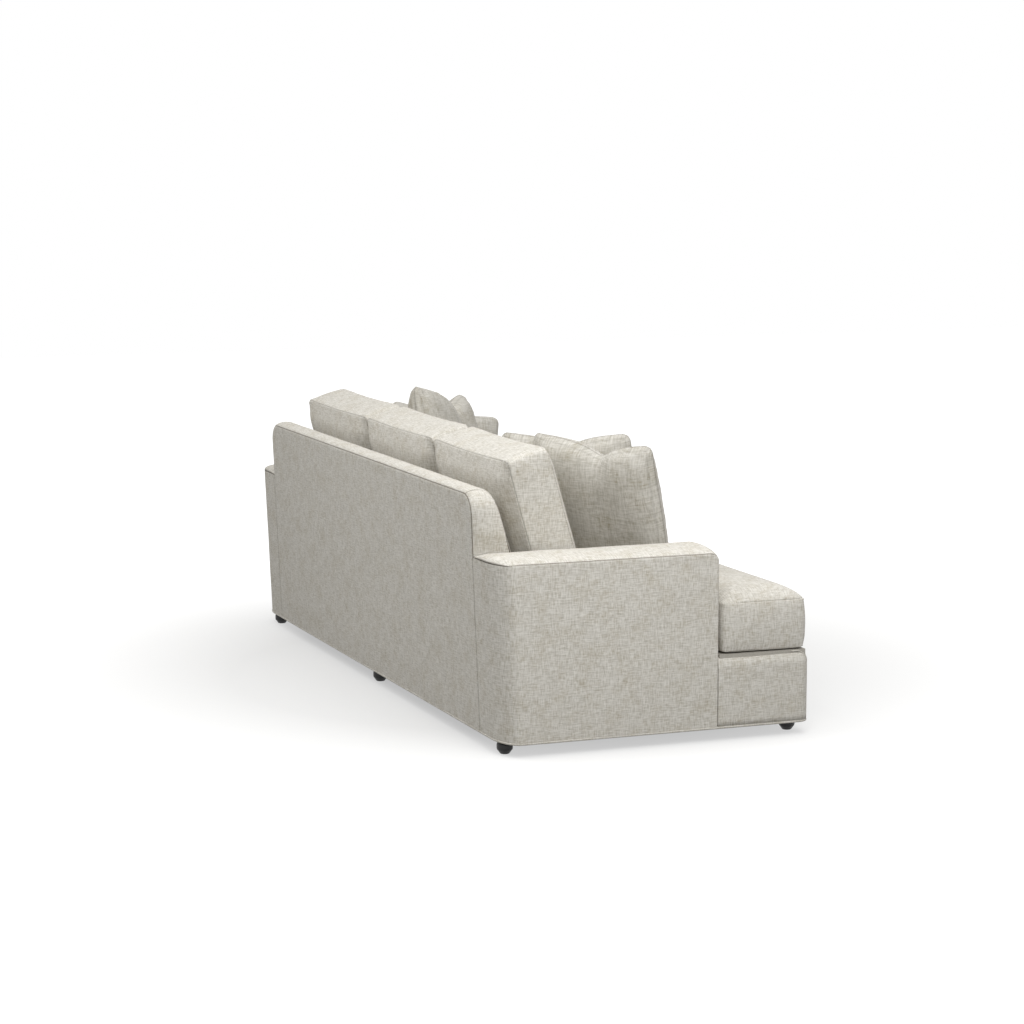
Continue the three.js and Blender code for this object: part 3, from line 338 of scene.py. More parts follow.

# %% [markdown]
# The parts under the covers still need an honest finish, because someone may lift a cushion or turn
# the sofa over: planed pine with growth rings drawn out along the board, drawn spring steel with a
# faint bloom, spun-bonded cloth of short fibres pressed flat, and moulded feet with a fine grit. Each
# is one noise through a colour ramp, which also raises the surface a little on all but the steel.

# %% Pine, spring steel, spun cloth and moulded plastic
def plain_finish(name, roughness, scale, stops, bump=(0, 1), stretch=(1, 1, 1), shine=(), **pattern):
    """A finish whose colour follows one noise in object space, of so many waves to the metre."""
    material, tree, shader = new_material(name, roughness, **dict(shine))
    place = node(tree, "ShaderNodeTexCoord").outputs["Object"]
    drawn = node(tree, "ShaderNodeMapping", {"Vector": place}, Scale=stretch).outputs[0]
    grain = node(tree, "ShaderNodeTexNoise", {0: drawn}, Scale=scale, **pattern).outputs[0]
    colour = node(tree, "ShaderNodeValToRGB", {0: grain}, stops)
    tree.links.new(colour.outputs[0], shader.inputs["Base Color"])
    strength, height = bump
    if strength:
        raised = node(tree, "ShaderNodeBump", {"Height": grain}, Strength=strength, Distance=height * MM)
        tree.links.new(raised.outputs[0], shader.inputs["Normal"])
    return material


# Growth rings are 18 mm apart, and patches of bloom 33 mm. Grit and fibres are drawn 1.1 and 2.4 mm
# across, which is coarser than real ones, so that they show.
RINGS = ((0.3, "#b98d57"), (0.5, "#d9b583"), (0.72, "#e6cda1"))
BLOOM = ((0.35, "#6f7276"), (0.65, "#8d8b86"))
GRIT = ((0.3, "#060607"), (0.7, "#0b0b0c"))
BLACK = ((0.35, "#151517"), (0.65, "#26262a"))
# The deck cloth has the cover's pale tone, drawn darker as painted shade for the narrow gap under the seat
# cushions.
DECK_TONES_IN_SHADE = ((0.35, "#98948b"), (0.65, "#b0aca3"))
SATIN = {"ior": 1.49}
FIBRES = {"bump": (0.3, 0.5), "Detail": 4.0, "Roughness": 0.7}
pine = plain_finish("planed pine", 0.55, 4.0, RINGS, (0.2, 0.6), (1.2, 14, 14), Detail=6.0, Distortion=1.2)
steel = plain_finish("drawn spring steel", 0.38, 30.0, BLOOM, shine={"Metallic": 1.0}, Detail=3.0)
plastic = plain_finish("moulded polypropylene", 0.42, 900.0, GRIT, (0.15, 0.3), shine=SATIN, Detail=2.0)
dust_cloth = plain_finish("black spun-bonded cloth", 0.9, 420.0, BLACK, **FIBRES)
deck_cloth = plain_finish("pale deck cloth", 0.9, 420.0, DECK_TONES_IN_SHADE, **FIBRES)
print("finishes:", [m.name for m in bpy.data.materials])

# %% [markdown]
# The timber frame, the springs, the deck and the cloth below are shaped right in the frame already, so
# they stay and only get their finish. Everything that is stuffed or covered is made anew.

# %% Finishes on the parts that stay
KEPT = {
    "rail": pine, "stretcher": pine, "corner_block": pine, "back_post": pine, "back_top_rail": pine,
    "arm_frame": pine, "springs": steel, "dust_cloth": dust_cloth, "seat_deck": deck_cloth,
}
kept_count = 0
for name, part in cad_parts.items():
    for start, finish in KEPT.items():
        if name.startswith(start):
            part.data.materials.clear()
            part.data.materials.append(finish)
            kept_count += 1
print(kept_count, "parts keep their shape")

# %% [markdown]
# A cover panel is a flat piece of cloth pulled over padding: it is smooth in the middle and dips into
# a seam at each sewn edge. Each one is a grid whose rows crowd towards the edges, so that the dip is
# crisp there and the middle costs little. The shape comes from one function of the two edge lengths.

# %% Panels of cloth
SEAM_REACH = 6
SEAM_DIP = 4
PLAIN_DIP = 3
# Seams get a narrow line of painted shade, this many millimetres wide.
SEAM_SHADOW_WIDTH = 2.4
PUCKER_STARTS = 3
PUCKER_REACH = 14
SWELL_STARTS = 25
WALL = 3


def rows_between(low, high, step, fine=(1.2, 3, 6, 10, 16)):
    """Places from low to high, crowded at both ends."""
    inner = [low + f for f in fine] + [high - f for f in reversed(fine)]
    room = (high - fine[-1]) - (low + fine[-1])
    count = max(1, round(room / step))
    middle = [low + fine[-1] + room * i / count for i in range(1, count)]
    return sorted([low, high] + inner + middle)


def shares(low, high, step):
    """Rows between two heights as shares of the way from the lower to the upper."""
    return [(z - low) / (high - low) for z in rows_between(low, high, step)]


def spaced(places, least):
    """Places in order, without those that lie almost on the one before."""
    places = sorted(places)
    return [p for i, p in enumerate(places) if i == 0 or p - places[i - 1] > least]


def quarter(distance, reach):
    """The fall of a quarter circle: 1 at a distance of 0, and 0 from its reach on."""
    if distance >= reach:
        return 0.0
    return 1 - math.sqrt(max(0.0, 1 - (1 - distance / reach) ** 2))


def seam_dip(distance, dip=SEAM_DIP):
    """How far a panel has sunk at a distance from its seam."""
    return dip * quarter(distance, SEAM_REACH)


def seam_shade(distance, strength=1.0):
    """How dark the painted shade in a seam is at a distance from it: 1 on the seam, 0 beside it."""
    return strength * max(0.0, 1 - distance / SEAM_SHADOW_WIDTH)


def softness(point, seam_distance, slack=1.0):
    """Small unevenness of padded cloth in millimetres: broad swells, and puckers beside the seams."""
    swell = noise.noise(point * 5.0) * 1.6 + noise.noise(point * 13.0 + Vector((7, 3, 1))) * 0.6
    pucker = noise.noise(point * 55.0) * 0.9 * math.exp(-seam_distance / PUCKER_REACH)
    pucker *= min(1.0, seam_distance / PUCKER_STARTS)
    return slack * (swell * min(1.0, seam_distance / SWELL_STARTS) + pucker)


def as_object(name, shape, finish, body, node_name, wall=0):
    """Turns a bmesh into a piece that rides on a body and stands for a node of the frame."""
    data = bpy.data.meshes.new(name)
    shape.to_mesh(data)
    shape.free()
    data.materials.append(finish)
    data.shade_smooth()
    made = bpy.data.objects.new(name, data)
    bpy.context.scene.collection.objects.link(made)
    if wall:
        padding = made.modifiers.new("cloth and padding", "SOLIDIFY")
        padding.thickness = wall * MM
        padding.offset = -1
    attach(made, body)
    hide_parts(node_name)
    return made


def cover(name, shape, node_name):
    """A covered piece of the frame, with a wall as thick as the cloth and its padding."""
    return as_object(name, shape, cover_cloth, "frame", node_name, WALL)


def panel(us, vs, face, core):
    """A sheet of padded cloth that looks away from core: face(u, v) gives a place and its seam distance."""
    shape = bmesh.new()
    seam_shadow = shape.verts.layers.float.new("seam")
    columns, rows = len(us) - 1, len(vs) - 1
    bmesh.ops.create_grid(shape, x_segments=columns, y_segments=rows, size=0.5)
    seams = []
    for vert in shape.verts:
        u, v = us[round((vert.co.x + 0.5) * columns)], vs[round((vert.co.y + 0.5) * rows)]
        vert.co, distance = face(u, v)
        # The seam layer gets painted shade along every sewn edge of the panel.
        vert[seam_shadow] = seam_shade(distance)
        seams.append(distance)
    shape.normal_update()
    outward = sum((f.calc_center_median() - core).dot(f.normal) * f.calc_area() for f in shape.faces)
    if outward < 0:
        bmesh.ops.reverse_faces(shape, faces=shape.faces)
        shape.normal_update()
    pushes = [v.normal * softness(v.co, d) * MM for v, d in zip(shape.verts, seams)]
    for vert, push in zip(shape.verts, pushes):
        vert.co += push
    return shape


def arm_pair(name, shape, node_name):
    """The piece of the near arm, and its mirror image on the far arm."""
    far = shape.copy()
    middle = NEAR_END + LENGTH / 2 * MM
    bmesh.ops.translate(far, verts=far.verts, vec=(-middle, 0, 0))
    bmesh.ops.scale(far, verts=far.verts, vec=(-1, 1, 1))
    bmesh.ops.translate(far, verts=far.verts, vec=(middle, 0, 0))
    bmesh.ops.reverse_faces(far, faces=far.faces)
    cover(f"{name}_near", shape, f"{node_name}_near")
    cover(f"{name}_far", far, f"{node_name}_far")


print("a panel of 600 mm has", len(rows_between(0, 600, 20)), "rows")

# %% [markdown]
# The outer arm panel wraps the rounded rear corner in one piece. It runs from the seam at the arm's
# front edge to the upright seam where the back panel starts, so its width is measured round the corner.

# %% Outer arm panels
FRONT_EDGE = 0.5
corner_length = (REAR_CORNER + REAR_SWEEP) * math.pi / 4
side_length = ARM_DEPTH - REAR_CORNER
wrap_length = side_length + corner_length + ARM_WIDTH - REAR_SWEEP


def arm_top(inwards):
    """Height of the arm's seam, which turns down round the front corner to just short of its edge."""
    over = min(inwards, ARM_DEPTH - FRONT_EDGE) - (ARM_DEPTH - ARM_CORNER)
    if over <= 0:
        return ARM_SEAM
    return ARM_SEAM - ARM_CORNER + math.sqrt(ARM_CORNER ** 2 - over ** 2)


def arm_outer_face(u, v):
    """Place on the outer arm panel, u from the front edge round the corner, v from hem to seam."""
    top = arm_top(ARM_DEPTH - u)
    up = COVER_BOTTOM + (top - COVER_BOTTOM) * v
    distance = min(u, top - up, wrap_length - u)
    dip = seam_dip(min(u, top - up)) + seam_dip(wrap_length - u, PLAIN_DIP)
    rear = rear_face(up)
    if u <= side_length:
        place = (dip, ARM_DEPTH - u * (ARM_DEPTH - REAR_CORNER - rear) / side_length)
    elif u <= side_length + corner_length:
        angle = (u - side_length) / corner_length * math.pi / 2
        place = (
            REAR_SWEEP - (REAR_SWEEP - dip) * math.cos(angle),
            rear + REAR_CORNER - (REAR_CORNER - dip) * math.sin(angle),
        )
    else:
        place = (u - side_length - corner_length + REAR_SWEEP, rear + dip)
    return at(place[0], place[1], up), max(0.0, distance)


corner_columns = [side_length + corner_length * i / 8 for i in range(9)]
outer_columns = spaced(rows_between(0, wrap_length, 16) + corner_columns, 0.8)
arm_core = at(ARM_WIDTH - 30, ARM_DEPTH / 2, 330)
arm_outer = panel(outer_columns, shares(COVER_BOTTOM, ARM_SEAM, 18), arm_outer_face, arm_core)
arm_pair("arm_outer_panel", arm_outer, "arm_outer_cover")
print("outer arm panel is", round(wrap_length), "mm round")

# %% [markdown]
# The boxing is the long strip over the top of the arm. It starts at the rear corner, runs forward,
# turns down the front and ends at the hem. Padding makes it crown between its two seams.

# %% Arm boxing
SEAM_SET = 2.5
CROWN_RISE = 40
strip_width = ARM_WIDTH - 2 * SEAM_SET
boxing_top = ARM_DEPTH - ARM_CORNER
boxing_turn = ARM_CORNER * math.pi / 2
boxing_front = ARM_SEAM - ARM_CORNER - COVER_BOTTOM


def arm_boxing_face(u, v):
    """Place on the strip: u across it from the outer seam, v along it from the rear."""
    arch = math.sqrt(max(0.0, 1 - (2 * u / strip_width - 1) ** 2))
    along = SEAM_SET + u
    distance = min(u, strip_width - u)
    if v <= boxing_top:
        rear = rear_face(ARM_SEAM) + REAR_CORNER * quarter(along, REAR_SWEEP)
        from_rear = (boxing_top - rear) * v / boxing_top
        fall = math.sqrt(max(0.0, 1 - max(0.0, 1 - from_rear / CROWN_RISE) ** 2))
        place = at(along, rear + from_rear, ARM_SEAM - SEAM_SET + ARM_CROWN * arch * fall)
        distance = min(distance, from_rear)
    elif v <= boxing_top + boxing_turn:
        angle = (v - boxing_top) / ARM_CORNER
        crown = (ARM_CROWN + (ARM_FRONT_CROWN - ARM_CROWN) * angle / (math.pi / 2)) * arch
        radius = ARM_CORNER - SEAM_SET + crown
        inwards = boxing_top + radius * math.sin(angle)
        place = at(along, inwards, ARM_SEAM - ARM_CORNER + radius * math.cos(angle))
    else:
        up = ARM_SEAM - ARM_CORNER - (v - boxing_top - boxing_turn)
        place = at(along, ARM_DEPTH - SEAM_SET + ARM_FRONT_CROWN * arch, up)
    return place, max(0.0, distance)


strip_columns = rows_between(0, strip_width, 14, (0.4, 1.4, 3, 6, 11, 18))
strip_rows = rows_between(0, boxing_top, 18)
strip_rows += [boxing_top + boxing_turn * i / 6 for i in range(1, 7)]
strip_rows += [boxing_top + boxing_turn + boxing_front * i / 26 for i in range(1, 27)]
arm_boxing = panel(strip_columns, strip_rows, arm_boxing_face, arm_core)
arm_pair("arm_boxing_strip", arm_boxing, "arm_boxing")
print("arm boxing is", round(strip_rows[-1]), "mm long and", strip_width, "mm wide")

# %% [markdown]
# The inner arm panel faces the seat. It is flat, and stops at the deck that the cushions lie on.

# %% Inner arm panels
DECK_TOP = 283
BELOW_DECK = 30
INNER_START = 60


def arm_inner_face(u, v):
    """Place on the inner arm panel, u forward from the back, v from below the deck to the seam."""
    top = arm_top(u)
    low = DECK_TOP - BELOW_DECK if u < ARM_DEPTH else COVER_BOTTOM
    up = low + (top - low) * v
    distance = max(0.0, min(ARM_DEPTH - u, top - up))
    return at(ARM_WIDTH - seam_dip(distance), u, up), distance


inner_columns = rows_between(INNER_START, ARM_DEPTH, 18)
inner_rows = shares(DECK_TOP - BELOW_DECK, ARM_SEAM, 18)
arm_inner = panel(inner_columns, inner_rows, arm_inner_face, at(0, ARM_DEPTH / 2, 330))
arm_pair("arm_inner_panel", arm_inner, "arm_inner_cover")
print("inner arm panels reach", ARM_DEPTH, "mm forward")

# %% [markdown]
# The outside back is one wide panel that leans back a little. Its two top corners are rounded, and
# all its edges but the hem are sewn.

# %% Outside back
back_left, back_right = ARM_WIDTH, LENGTH - ARM_WIDTH


def back_top(along):
    """Height of the back's rear seam, which rounds down at both ends."""
    into = min(along - back_left, back_right - along)
    if into >= BACK_CORNER:
        return BACK_SEAM
    return BACK_SEAM - BACK_CORNER + math.sqrt(max(0.0, BACK_CORNER ** 2 - (BACK_CORNER - into) ** 2))


def back_corner_distance(along, up):
    """Distance inwards from the seam that runs up one side, over the top and down the other."""
    into = min(along - back_left, back_right - along)
    over = BACK_SEAM - up
    if into < BACK_CORNER and over < BACK_CORNER:
        return BACK_CORNER - math.hypot(BACK_CORNER - into, BACK_CORNER - over)
    return min(into, over)


def outside_back_face(u, v):
    """Place on the outside back, u along the sofa, v from hem to seam."""
    up = COVER_BOTTOM + (back_top(u) - COVER_BOTTOM) * v
    distance = max(0.0, back_corner_distance(u, up))
    return at(u, rear_face(up) + seam_dip(distance), up), distance


back_columns = rows_between(back_left, back_right, 22, (0.6, 2, 4, 7, 12, 18, 26, 36, 48, 62))
back_rows = shares(COVER_BOTTOM, BACK_SEAM, 20)
outside_back = panel(back_columns, back_rows, outside_back_face, at(LENGTH / 2, ARM_DEPTH, 400))
cover("back_outside_panel", outside_back, "back_outside_cover")
print("outside back is", round(back_right - back_left), "mm wide")

# %% [markdown]
# The back's boxing goes up one side, over the top and down the other. It is crowned like the arm's,
# and a cross seam joins its pieces near each top corner.

# %% Back boxing
BOXING_LOW = 560
CROSS_SEAM = -14
CROSS_DIP = 2.5
GROWTH = 51
side_run = BACK_SEAM - BACK_CORNER - BOXING_LOW
turn_run = BACK_CORNER * math.pi / 2
top_run = back_right - back_left - 2 * BACK_CORNER


def back_path(v):
    """The seam's own path in along and up, with its outward direction, v from the low near end."""
    left_over = whole_run - v
    nearer = min(v, left_over)
    if nearer <= side_run:
        along, up, out = 0.0, BOXING_LOW + nearer, (-1.0, 0.0)
    elif nearer <= side_run + turn_run:
        angle = (nearer - side_run) / BACK_CORNER
        out = (-math.cos(angle), math.sin(angle))
        along, up = BACK_CORNER * (1 + out[0]), BACK_SEAM - BACK_CORNER * (1 - out[1])
    else:
        along, up, out = BACK_CORNER + nearer - side_run - turn_run, BACK_SEAM, (0.0, 1.0)
    if v <= left_over:
        return (back_left + along, up), out
    return (back_right - along, up), (-out[0], out[1])


whole_run = 2 * side_run + 2 * turn_run + top_run
cross_seams = [side_run + turn_run + CROSS_SEAM, whole_run - side_run - turn_run - CROSS_SEAM]


def back_boxing_face(u, v):
    """Place on the band, u the share across from the rear seam, v along it."""
    (along, up), out = back_path(v)
    arch = math.sqrt(max(0.0, 1 - (2 * u - 1) ** 2))
    grown = min(1.0, max(0.0, (up - ARM_SEAM - ARM_CROWN) / GROWTH))
    cross = min(abs(v - seam) for seam in cross_seams)
    lift = BACK_CROWN * grown * arch - SEAM_SET - CROSS_DIP * math.exp(-(cross / 3) ** 2) * arch
    height = up + lift * out[1]
    rear = rear_face(height) + SEAM_SET
    front = inside_face(height) - SEAM_SET
    inwards = rear + u * (front - rear)
    distance = min(u, 1 - u) * (front - rear)
    return at(along + lift * out[0], inwards, height), min(distance, cross)


band_columns = [(1 - math.cos(math.pi * i / 18)) / 2 for i in range(19)]
band_rows = [side_run * i / 12 for i in range(12)]
band_rows += [side_run + turn_run * i / 9 for i in range(9)]
band_rows += [side_run + turn_run + top_run * i / 100 for i in range(101)]
band_rows += [side_run + turn_run + top_run + turn_run * i / 9 for i in range(1, 10)]
band_rows += [whole_run - side_run + side_run * i / 12 for i in range(1, 13)]
for seam in cross_seams:
    band_rows += [seam + offset for offset in (-6, -3, -1.2, 0, 1.2, 3, 6)]
back_boxing_core = at(LENGTH / 2, BACK_TOP / 2, BOXING_LOW)
back_boxing = panel(band_columns, spaced(band_rows, 0.7), back_boxing_face, back_boxing_core)
cover("back_boxing_band", back_boxing, "back_boxing")
print("back boxing is", round(whole_run), "mm long")

# %% [markdown]
# The inside back lies behind the loose cushions. It is one padded panel that swells forward.

# %% Inside back
INSIDE_SWELL = 26
SWELL_REACH = 150


def inside_back_face(u, v):
    """Place on the inside back, u along the sofa, v from the deck to the seam."""
    top = back_top(u) - SEAM_SET
    up = DECK_TOP + (top - DECK_TOP) * v
    distance = max(0.0, min(back_corner_distance(u, up), BACK_SEAM - up))
    swell = INSIDE_SWELL * (1 - (1 - min(1.0, distance / SWELL_REACH)) ** 2)
    swell *= min(1.0, (up - DECK_TOP) / 120 + 0.2)
    return at(u, inside_face(up) - SEAM_SET + swell - seam_dip(distance, PLAIN_DIP), up), distance


inside_rows = shares(DECK_TOP, BACK_SEAM, 24)
inside_back = panel(back_columns, inside_rows, inside_back_face, at(LENGTH / 2, -200, 500))
cover("back_inside_panel", inside_back, "back_inside_cover")
print("inside back swells", INSIDE_SWELL, "mm")

# %% [markdown]
# The base borders are strips of padded cloth below the seat cushions. Each rolls over the front rail
# at the top and turns into an upright corner seam at its ends.

# %% Base borders
BORDER_ROLL = 38
BORDER_DIP = 2
CORNER = 40
border_face = BASE_TOP - BORDER_ROLL - COVER_BOTTOM
border_over = BORDER_ROLL * math.pi / 2
border_rows = [border_face * i / 11 for i in range(12)]
border_rows += [border_face + border_over * i / 9 for i in range(1, 10)]
border_rows += [border_face + border_over + tucked_in for tucked_in in (10, 24)]


def border(name, start, end, outward, node_name, rounded):
    """A border strip between two places in plan, with its outward direction and its rounded ends."""
    run = math.dist(start, end)
    way = [(b - a) / run for a, b in zip(start, end)]

    def face(u, v):
        fall, place_on = 0.0, u
        for is_round, left, sign in ((rounded[0], u, 1), (rounded[1], run - u, -1)):
            if is_round and left < CORNER:
                angle = (1 - left / CORNER) * math.pi / 4
                fall = CORNER * (1 - math.cos(angle))
                place_on = u + sign * (CORNER * (1 - math.sin(angle)) - left)
        seam = max(0.0, min(run if rounded[0] else u, run if rounded[1] else run - u))
        out, up = 0.0, COVER_BOTTOM + v
        if v > border_face:
            angle = min((v - border_face) / BORDER_ROLL, math.pi / 2)
            out = BORDER_ROLL * (math.cos(angle) - 1) - max(0.0, v - border_face - border_over)
            up = BASE_TOP - BORDER_ROLL * (1 - math.sin(angle))
        out -= fall + seam_dip(seam, BORDER_DIP)
        along, inwards = (s + w * place_on + o * out for s, w, o in zip(start, way, outward))
        return at(along, inwards, up), seam

    columns = rows_between(0, run, 20, (1.2, 3, 6, 11, 18, 26, 36))
    behind = [(a + b) / 2 - 200 * o for a, b, o in zip(start, end, outward)]
    cover(name, panel(columns, border_rows, face, at(*behind, 0)), node_name)


arm_front = ARM_DEPTH - 1
for name, node_name, start, end, outward, rounded in (
    ("chaise", "front_chaise", (0, CHAISE_DEPTH), (CHAISE_WIDTH, CHAISE_DEPTH), (0, 1), (True, True)),
    ("near_side", "side_near", (0, arm_front), (0, CHAISE_DEPTH), (-1, 0), (False, True)),
    ("step", "side_step", (CHAISE_WIDTH, CHAISE_DEPTH), (CHAISE_WIDTH, SEAT_DEPTH), (1, 0), (True, False)),
    ("seats", "front_seats", (CHAISE_WIDTH - 14, SEAT_DEPTH), (LENGTH, SEAT_DEPTH), (0, 1), (False, True)),
    ("far_side", "side_far", (LENGTH, SEAT_DEPTH), (LENGTH, arm_front), (1, 0), (True, False)),
):
    border(f"base_border_{name}", start, end, outward, f"base_{node_name}", rounded)
print("base borders are", BASE_TOP - COVER_BOTTOM, "mm high")

# %% [markdown]
# A narrow welt finishes the bottom edge all round. It is one strip of the same cloth folded over a
# cord, so its section is round and it follows the outline of the sofa.

# %% Hem welt
WELT = 4.2
HEM_INSET = 2.2


def arc(centre, across, inwards, first, turn_by, steps):
    """Places along part of an ellipse in plan, from a first angle on."""
    angles = [math.radians(first + turn_by * i / steps) for i in range(steps + 1)]
    return [(centre[0] + across * math.cos(a), centre[1] + inwards * math.sin(a)) for a in angles]


def ring_edges(ring):
    """The edges between the points of a ring."""
    return list({e for v in ring for e in v.link_edges if e.other_vert(v) in ring})


def cord(points, radius, sides):
    """A closed cord along points: a ring extruded from point to point, and joined up at the end."""
    shape = bmesh.new()
    ring = bmesh.ops.create_circle(shape, segments=sides, radius=radius)["verts"]
    base = [v.co.copy() for v in ring]
    rings = []
    for before, point, after in zip(points[-1:] + points, points, points[1:] + points[:1]):
        heading = (after - point).normalized() + (point - before).normalized()
        turned = heading.to_track_quat("Z", "Y").to_matrix()
        if rings:
            made = bmesh.ops.extrude_edge_only(shape, edges=ring_edges(ring))["geom"]
            fresh = {g for g in made if isinstance(g, bmesh.types.BMVert)}
            ring = [next(e.other_vert(v) for e in v.link_edges if e.other_vert(v) in fresh) for v in ring]
        for vert, flat in zip(ring, base):
            vert.co = point + turned @ flat
        rings.append(ring)
    bmesh.ops.bridge_loops(shape, edges=ring_edges(rings[0]) + ring_edges(rings[-1]))
    bmesh.ops.recalc_face_normals(shape, faces=shape.faces)
    return shape


outline = []
for middle, first in ((REAR_SWEEP, 180), (LENGTH - REAR_SWEEP, 270)):
    outline += arc((middle, REAR_CORNER), REAR_SWEEP - HEM_INSET, REAR_CORNER - HEM_INSET, first, 90, 8)
for centre, radius, first, turn_by in (
    ((LENGTH - CORNER, SEAT_DEPTH - CORNER), CORNER - HEM_INSET, 0, 90),
    ((CHAISE_WIDTH + CORNER, SEAT_DEPTH + CORNER), CORNER + HEM_INSET, 270, -90),
    ((CHAISE_WIDTH - CORNER, CHAISE_DEPTH - CORNER), CORNER - HEM_INSET, 0, 90),
    ((CORNER, CHAISE_DEPTH - CORNER), CORNER - HEM_INSET, 90, 90),
):
    outline += arc(centre, radius, radius, first, turn_by, 6)
hem_points = [at(along, inwards, HEM_HEIGHT + WELT) for along, inwards in outline]
hem = cord(hem_points, WELT * MM, 10)
as_object("bottom_welt", hem, cover_cloth, "frame", "bottom_hem")
print("hem welt passes", len(hem_points), "points")

# %% [markdown]
# The feet are low moulded buns with a chamfer below. A half section spun round its axis gives one, and
# the spun faces are turned outwards afterwards.

# %% Feet
# Radius and height of each corner of the half section, in millimetres from the floor up.
FOOT_SECTION = (
    (0, 0), (14, 0), (15.5, 1.2), (22.5, 11), (25.2, 14), (26, 18),
    (26, 30), (24.6, 34), (22.5, 36), (22, 42.4), (0, 42.4),
)
feet = [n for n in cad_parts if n.startswith("foot_")]
for name in feet:
    axis = sum(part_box(name), Vector()) / 2
    axis.z = 0
    shape = bmesh.new()
    verts = [shape.verts.new(axis + Vector((r, 0, z)) * MM) for r, z in FOOT_SECTION]
    section = verts + [shape.edges.new(pair) for pair in zip(verts, verts[1:])]
    bmesh.ops.spin(shape, geom=section, cent=axis, axis=UP, angle=2 * math.pi, steps=40, use_merge=True)
    bmesh.ops.remove_doubles(shape, verts=shape.verts, dist=1e-6)
    bmesh.ops.recalc_face_normals(shape, faces=shape.faces)
    as_object(name.replace("foot", "bun_foot"), shape, plastic, "frame", name)
print(len(feet), "feet")

# %% [markdown]
# A loose cushion is a fabric case sewn from two panels and a border, and stuffed a little too full. The
# frame holds each one as a coarse stuffed form. A copy of it is rounded, remeshed evenly and inflated as
# cloth, with its seams held in place, so that the panels swell between the seams as real ones do.

# %% Cushion cases
VOXEL = 11
CREASE = 0.6
SIDEWAYS = 0.55
PIN_REACH = 8.5
SHRINK = 7
SHRINK_REACH = 45
PRESSURE = 4.0
STEPS = 20
CAP = 24
PROUD = 1.0
FILL = 0.8
SETTLE = 20
CASE_SLACK = 0.6
CROWN = 15
CROWN_FROM = 640
CROWN_RUN = 120
CROWN_EDGE = 55


def surface_of(obj):
    """The surface of an object's mesh, as a tree that finds the nearest place on it."""
    corners = [v.co.copy() for v in obj.data.vertices]
    return BVHTree.FromPolygons(corners, [tuple(p.vertices) for p in obj.data.polygons])


def seam_edges(shape, axis):
    """Edges between a panel, which looks along the axis, and the border, which doesn't."""
    found = []
    for edge in shape.edges:
        if len(edge.link_faces) == 2:
            a, b = (abs(face.normal.dot(axis)) > SIDEWAYS for face in edge.link_faces)
            if a != b:
                found.append(edge)
    return found


def sampled(edges, step=3.0):
    """Points along edges, a few millimetres apart, in a tree that finds the nearest one."""
    points = []
    for edge in edges:
        a, b = (v.co for v in edge.verts)
        count = max(1, round((b - a).length / (step * MM)))
        points += [a.lerp(b, i / count) for i in range(count)]
    tree = kdtree.KDTree(len(points))
    for i, point in enumerate(points):
        tree.insert(point, i)
    tree.balance()
    return tree


def applied(case):
    """Takes the mesh that an object's modifiers give, and drops the modifiers."""
    made = bpy.data.meshes.new_from_object(case.evaluated_get(bpy.context.evaluated_depsgraph_get()))
    made.name = case.data.name
    case.modifiers.clear()
    case.data = made
    return case


def rounded_case(node_name, axis):
    """A smooth, evenly meshed copy of a stuffed form, with a tree of its seams and its own room."""
    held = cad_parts[node_name]
    shape = bmesh.new()
    shape.from_mesh(held.data)
    bmesh.ops.remove_doubles(shape, verts=shape.verts, dist=0.00005)
    bmesh.ops.recalc_face_normals(shape, faces=shape.faces)
    crease = shape.edges.layers.float.new("crease_edge")
    shape.normal_update()
    for edge in seam_edges(shape, axis):
        edge[crease] = CREASE
    bmesh.ops.join_triangles(shape, faces=shape.faces, angle_face_threshold=0.6, angle_shape_threshold=1.2)
    data = bpy.data.meshes.new(f"{node_name}_case")
    shape.to_mesh(data)
    shape.free()
    case = bpy.data.objects.new(f"{node_name}_case", data)
    bpy.context.scene.collection.objects.link(case)
    rounding = case.modifiers.new("rounding", "SUBSURF")
    rounding.levels = rounding.render_levels = 2
    rounding.boundary_smooth = "ALL"
    applied(case)
    shape = bmesh.new()
    shape.from_mesh(case.data)
    shape.normal_update()
    seams = sampled(seam_edges(shape, axis))
    shape.free()
    even = case.modifiers.new("even", "REMESH")
    even.mode = "VOXEL"
    even.voxel_size = VOXEL * MM
    return applied(case), seams, surface_of(held)


def inflated(case, seams):
    """Inflates a case as cloth, its seams held, and caps how far any point may go."""
    start = [v.co.copy() for v in case.data.vertices]
    normals = [v.normal.copy() for v in case.data.vertices]
    gaps = [seams.find(co)[2] / MM for co in start]
    held = case.vertex_groups.new(name="seams")
    for vert, gap, normal in zip(case.data.vertices, gaps, normals):
        if gap < PIN_REACH:
            held.add([vert.index], 1.0, "REPLACE")
        vert.co -= normal * SHRINK * MM * min(1.0, max(0.0, gap - PIN_REACH) / SHRINK_REACH)
    cloth = case.modifiers.new("cloth", "CLOTH")
    settings = cloth.settings
    settings.quality = 4
    settings.mass = 0.4
    settings.tension_stiffness = settings.compression_stiffness = 12
    settings.bending_stiffness = 0.6
    settings.use_pressure = True
    settings.uniform_pressure_force = PRESSURE
    settings.vertex_group_mass = "seams"
    settings.effector_weights.gravity = 0
    cloth.collision_settings.use_collision = False
    for step in range(1, STEPS + 1):
        bpy.context.scene.frame_set(step)
    applied(case)
    bpy.context.scene.frame_set(1)
    for vert, place in zip(case.data.vertices, start):
        moved = vert.co - place
        if moved.length > CAP * MM:
            vert.co = place + moved.normalized() * CAP * MM


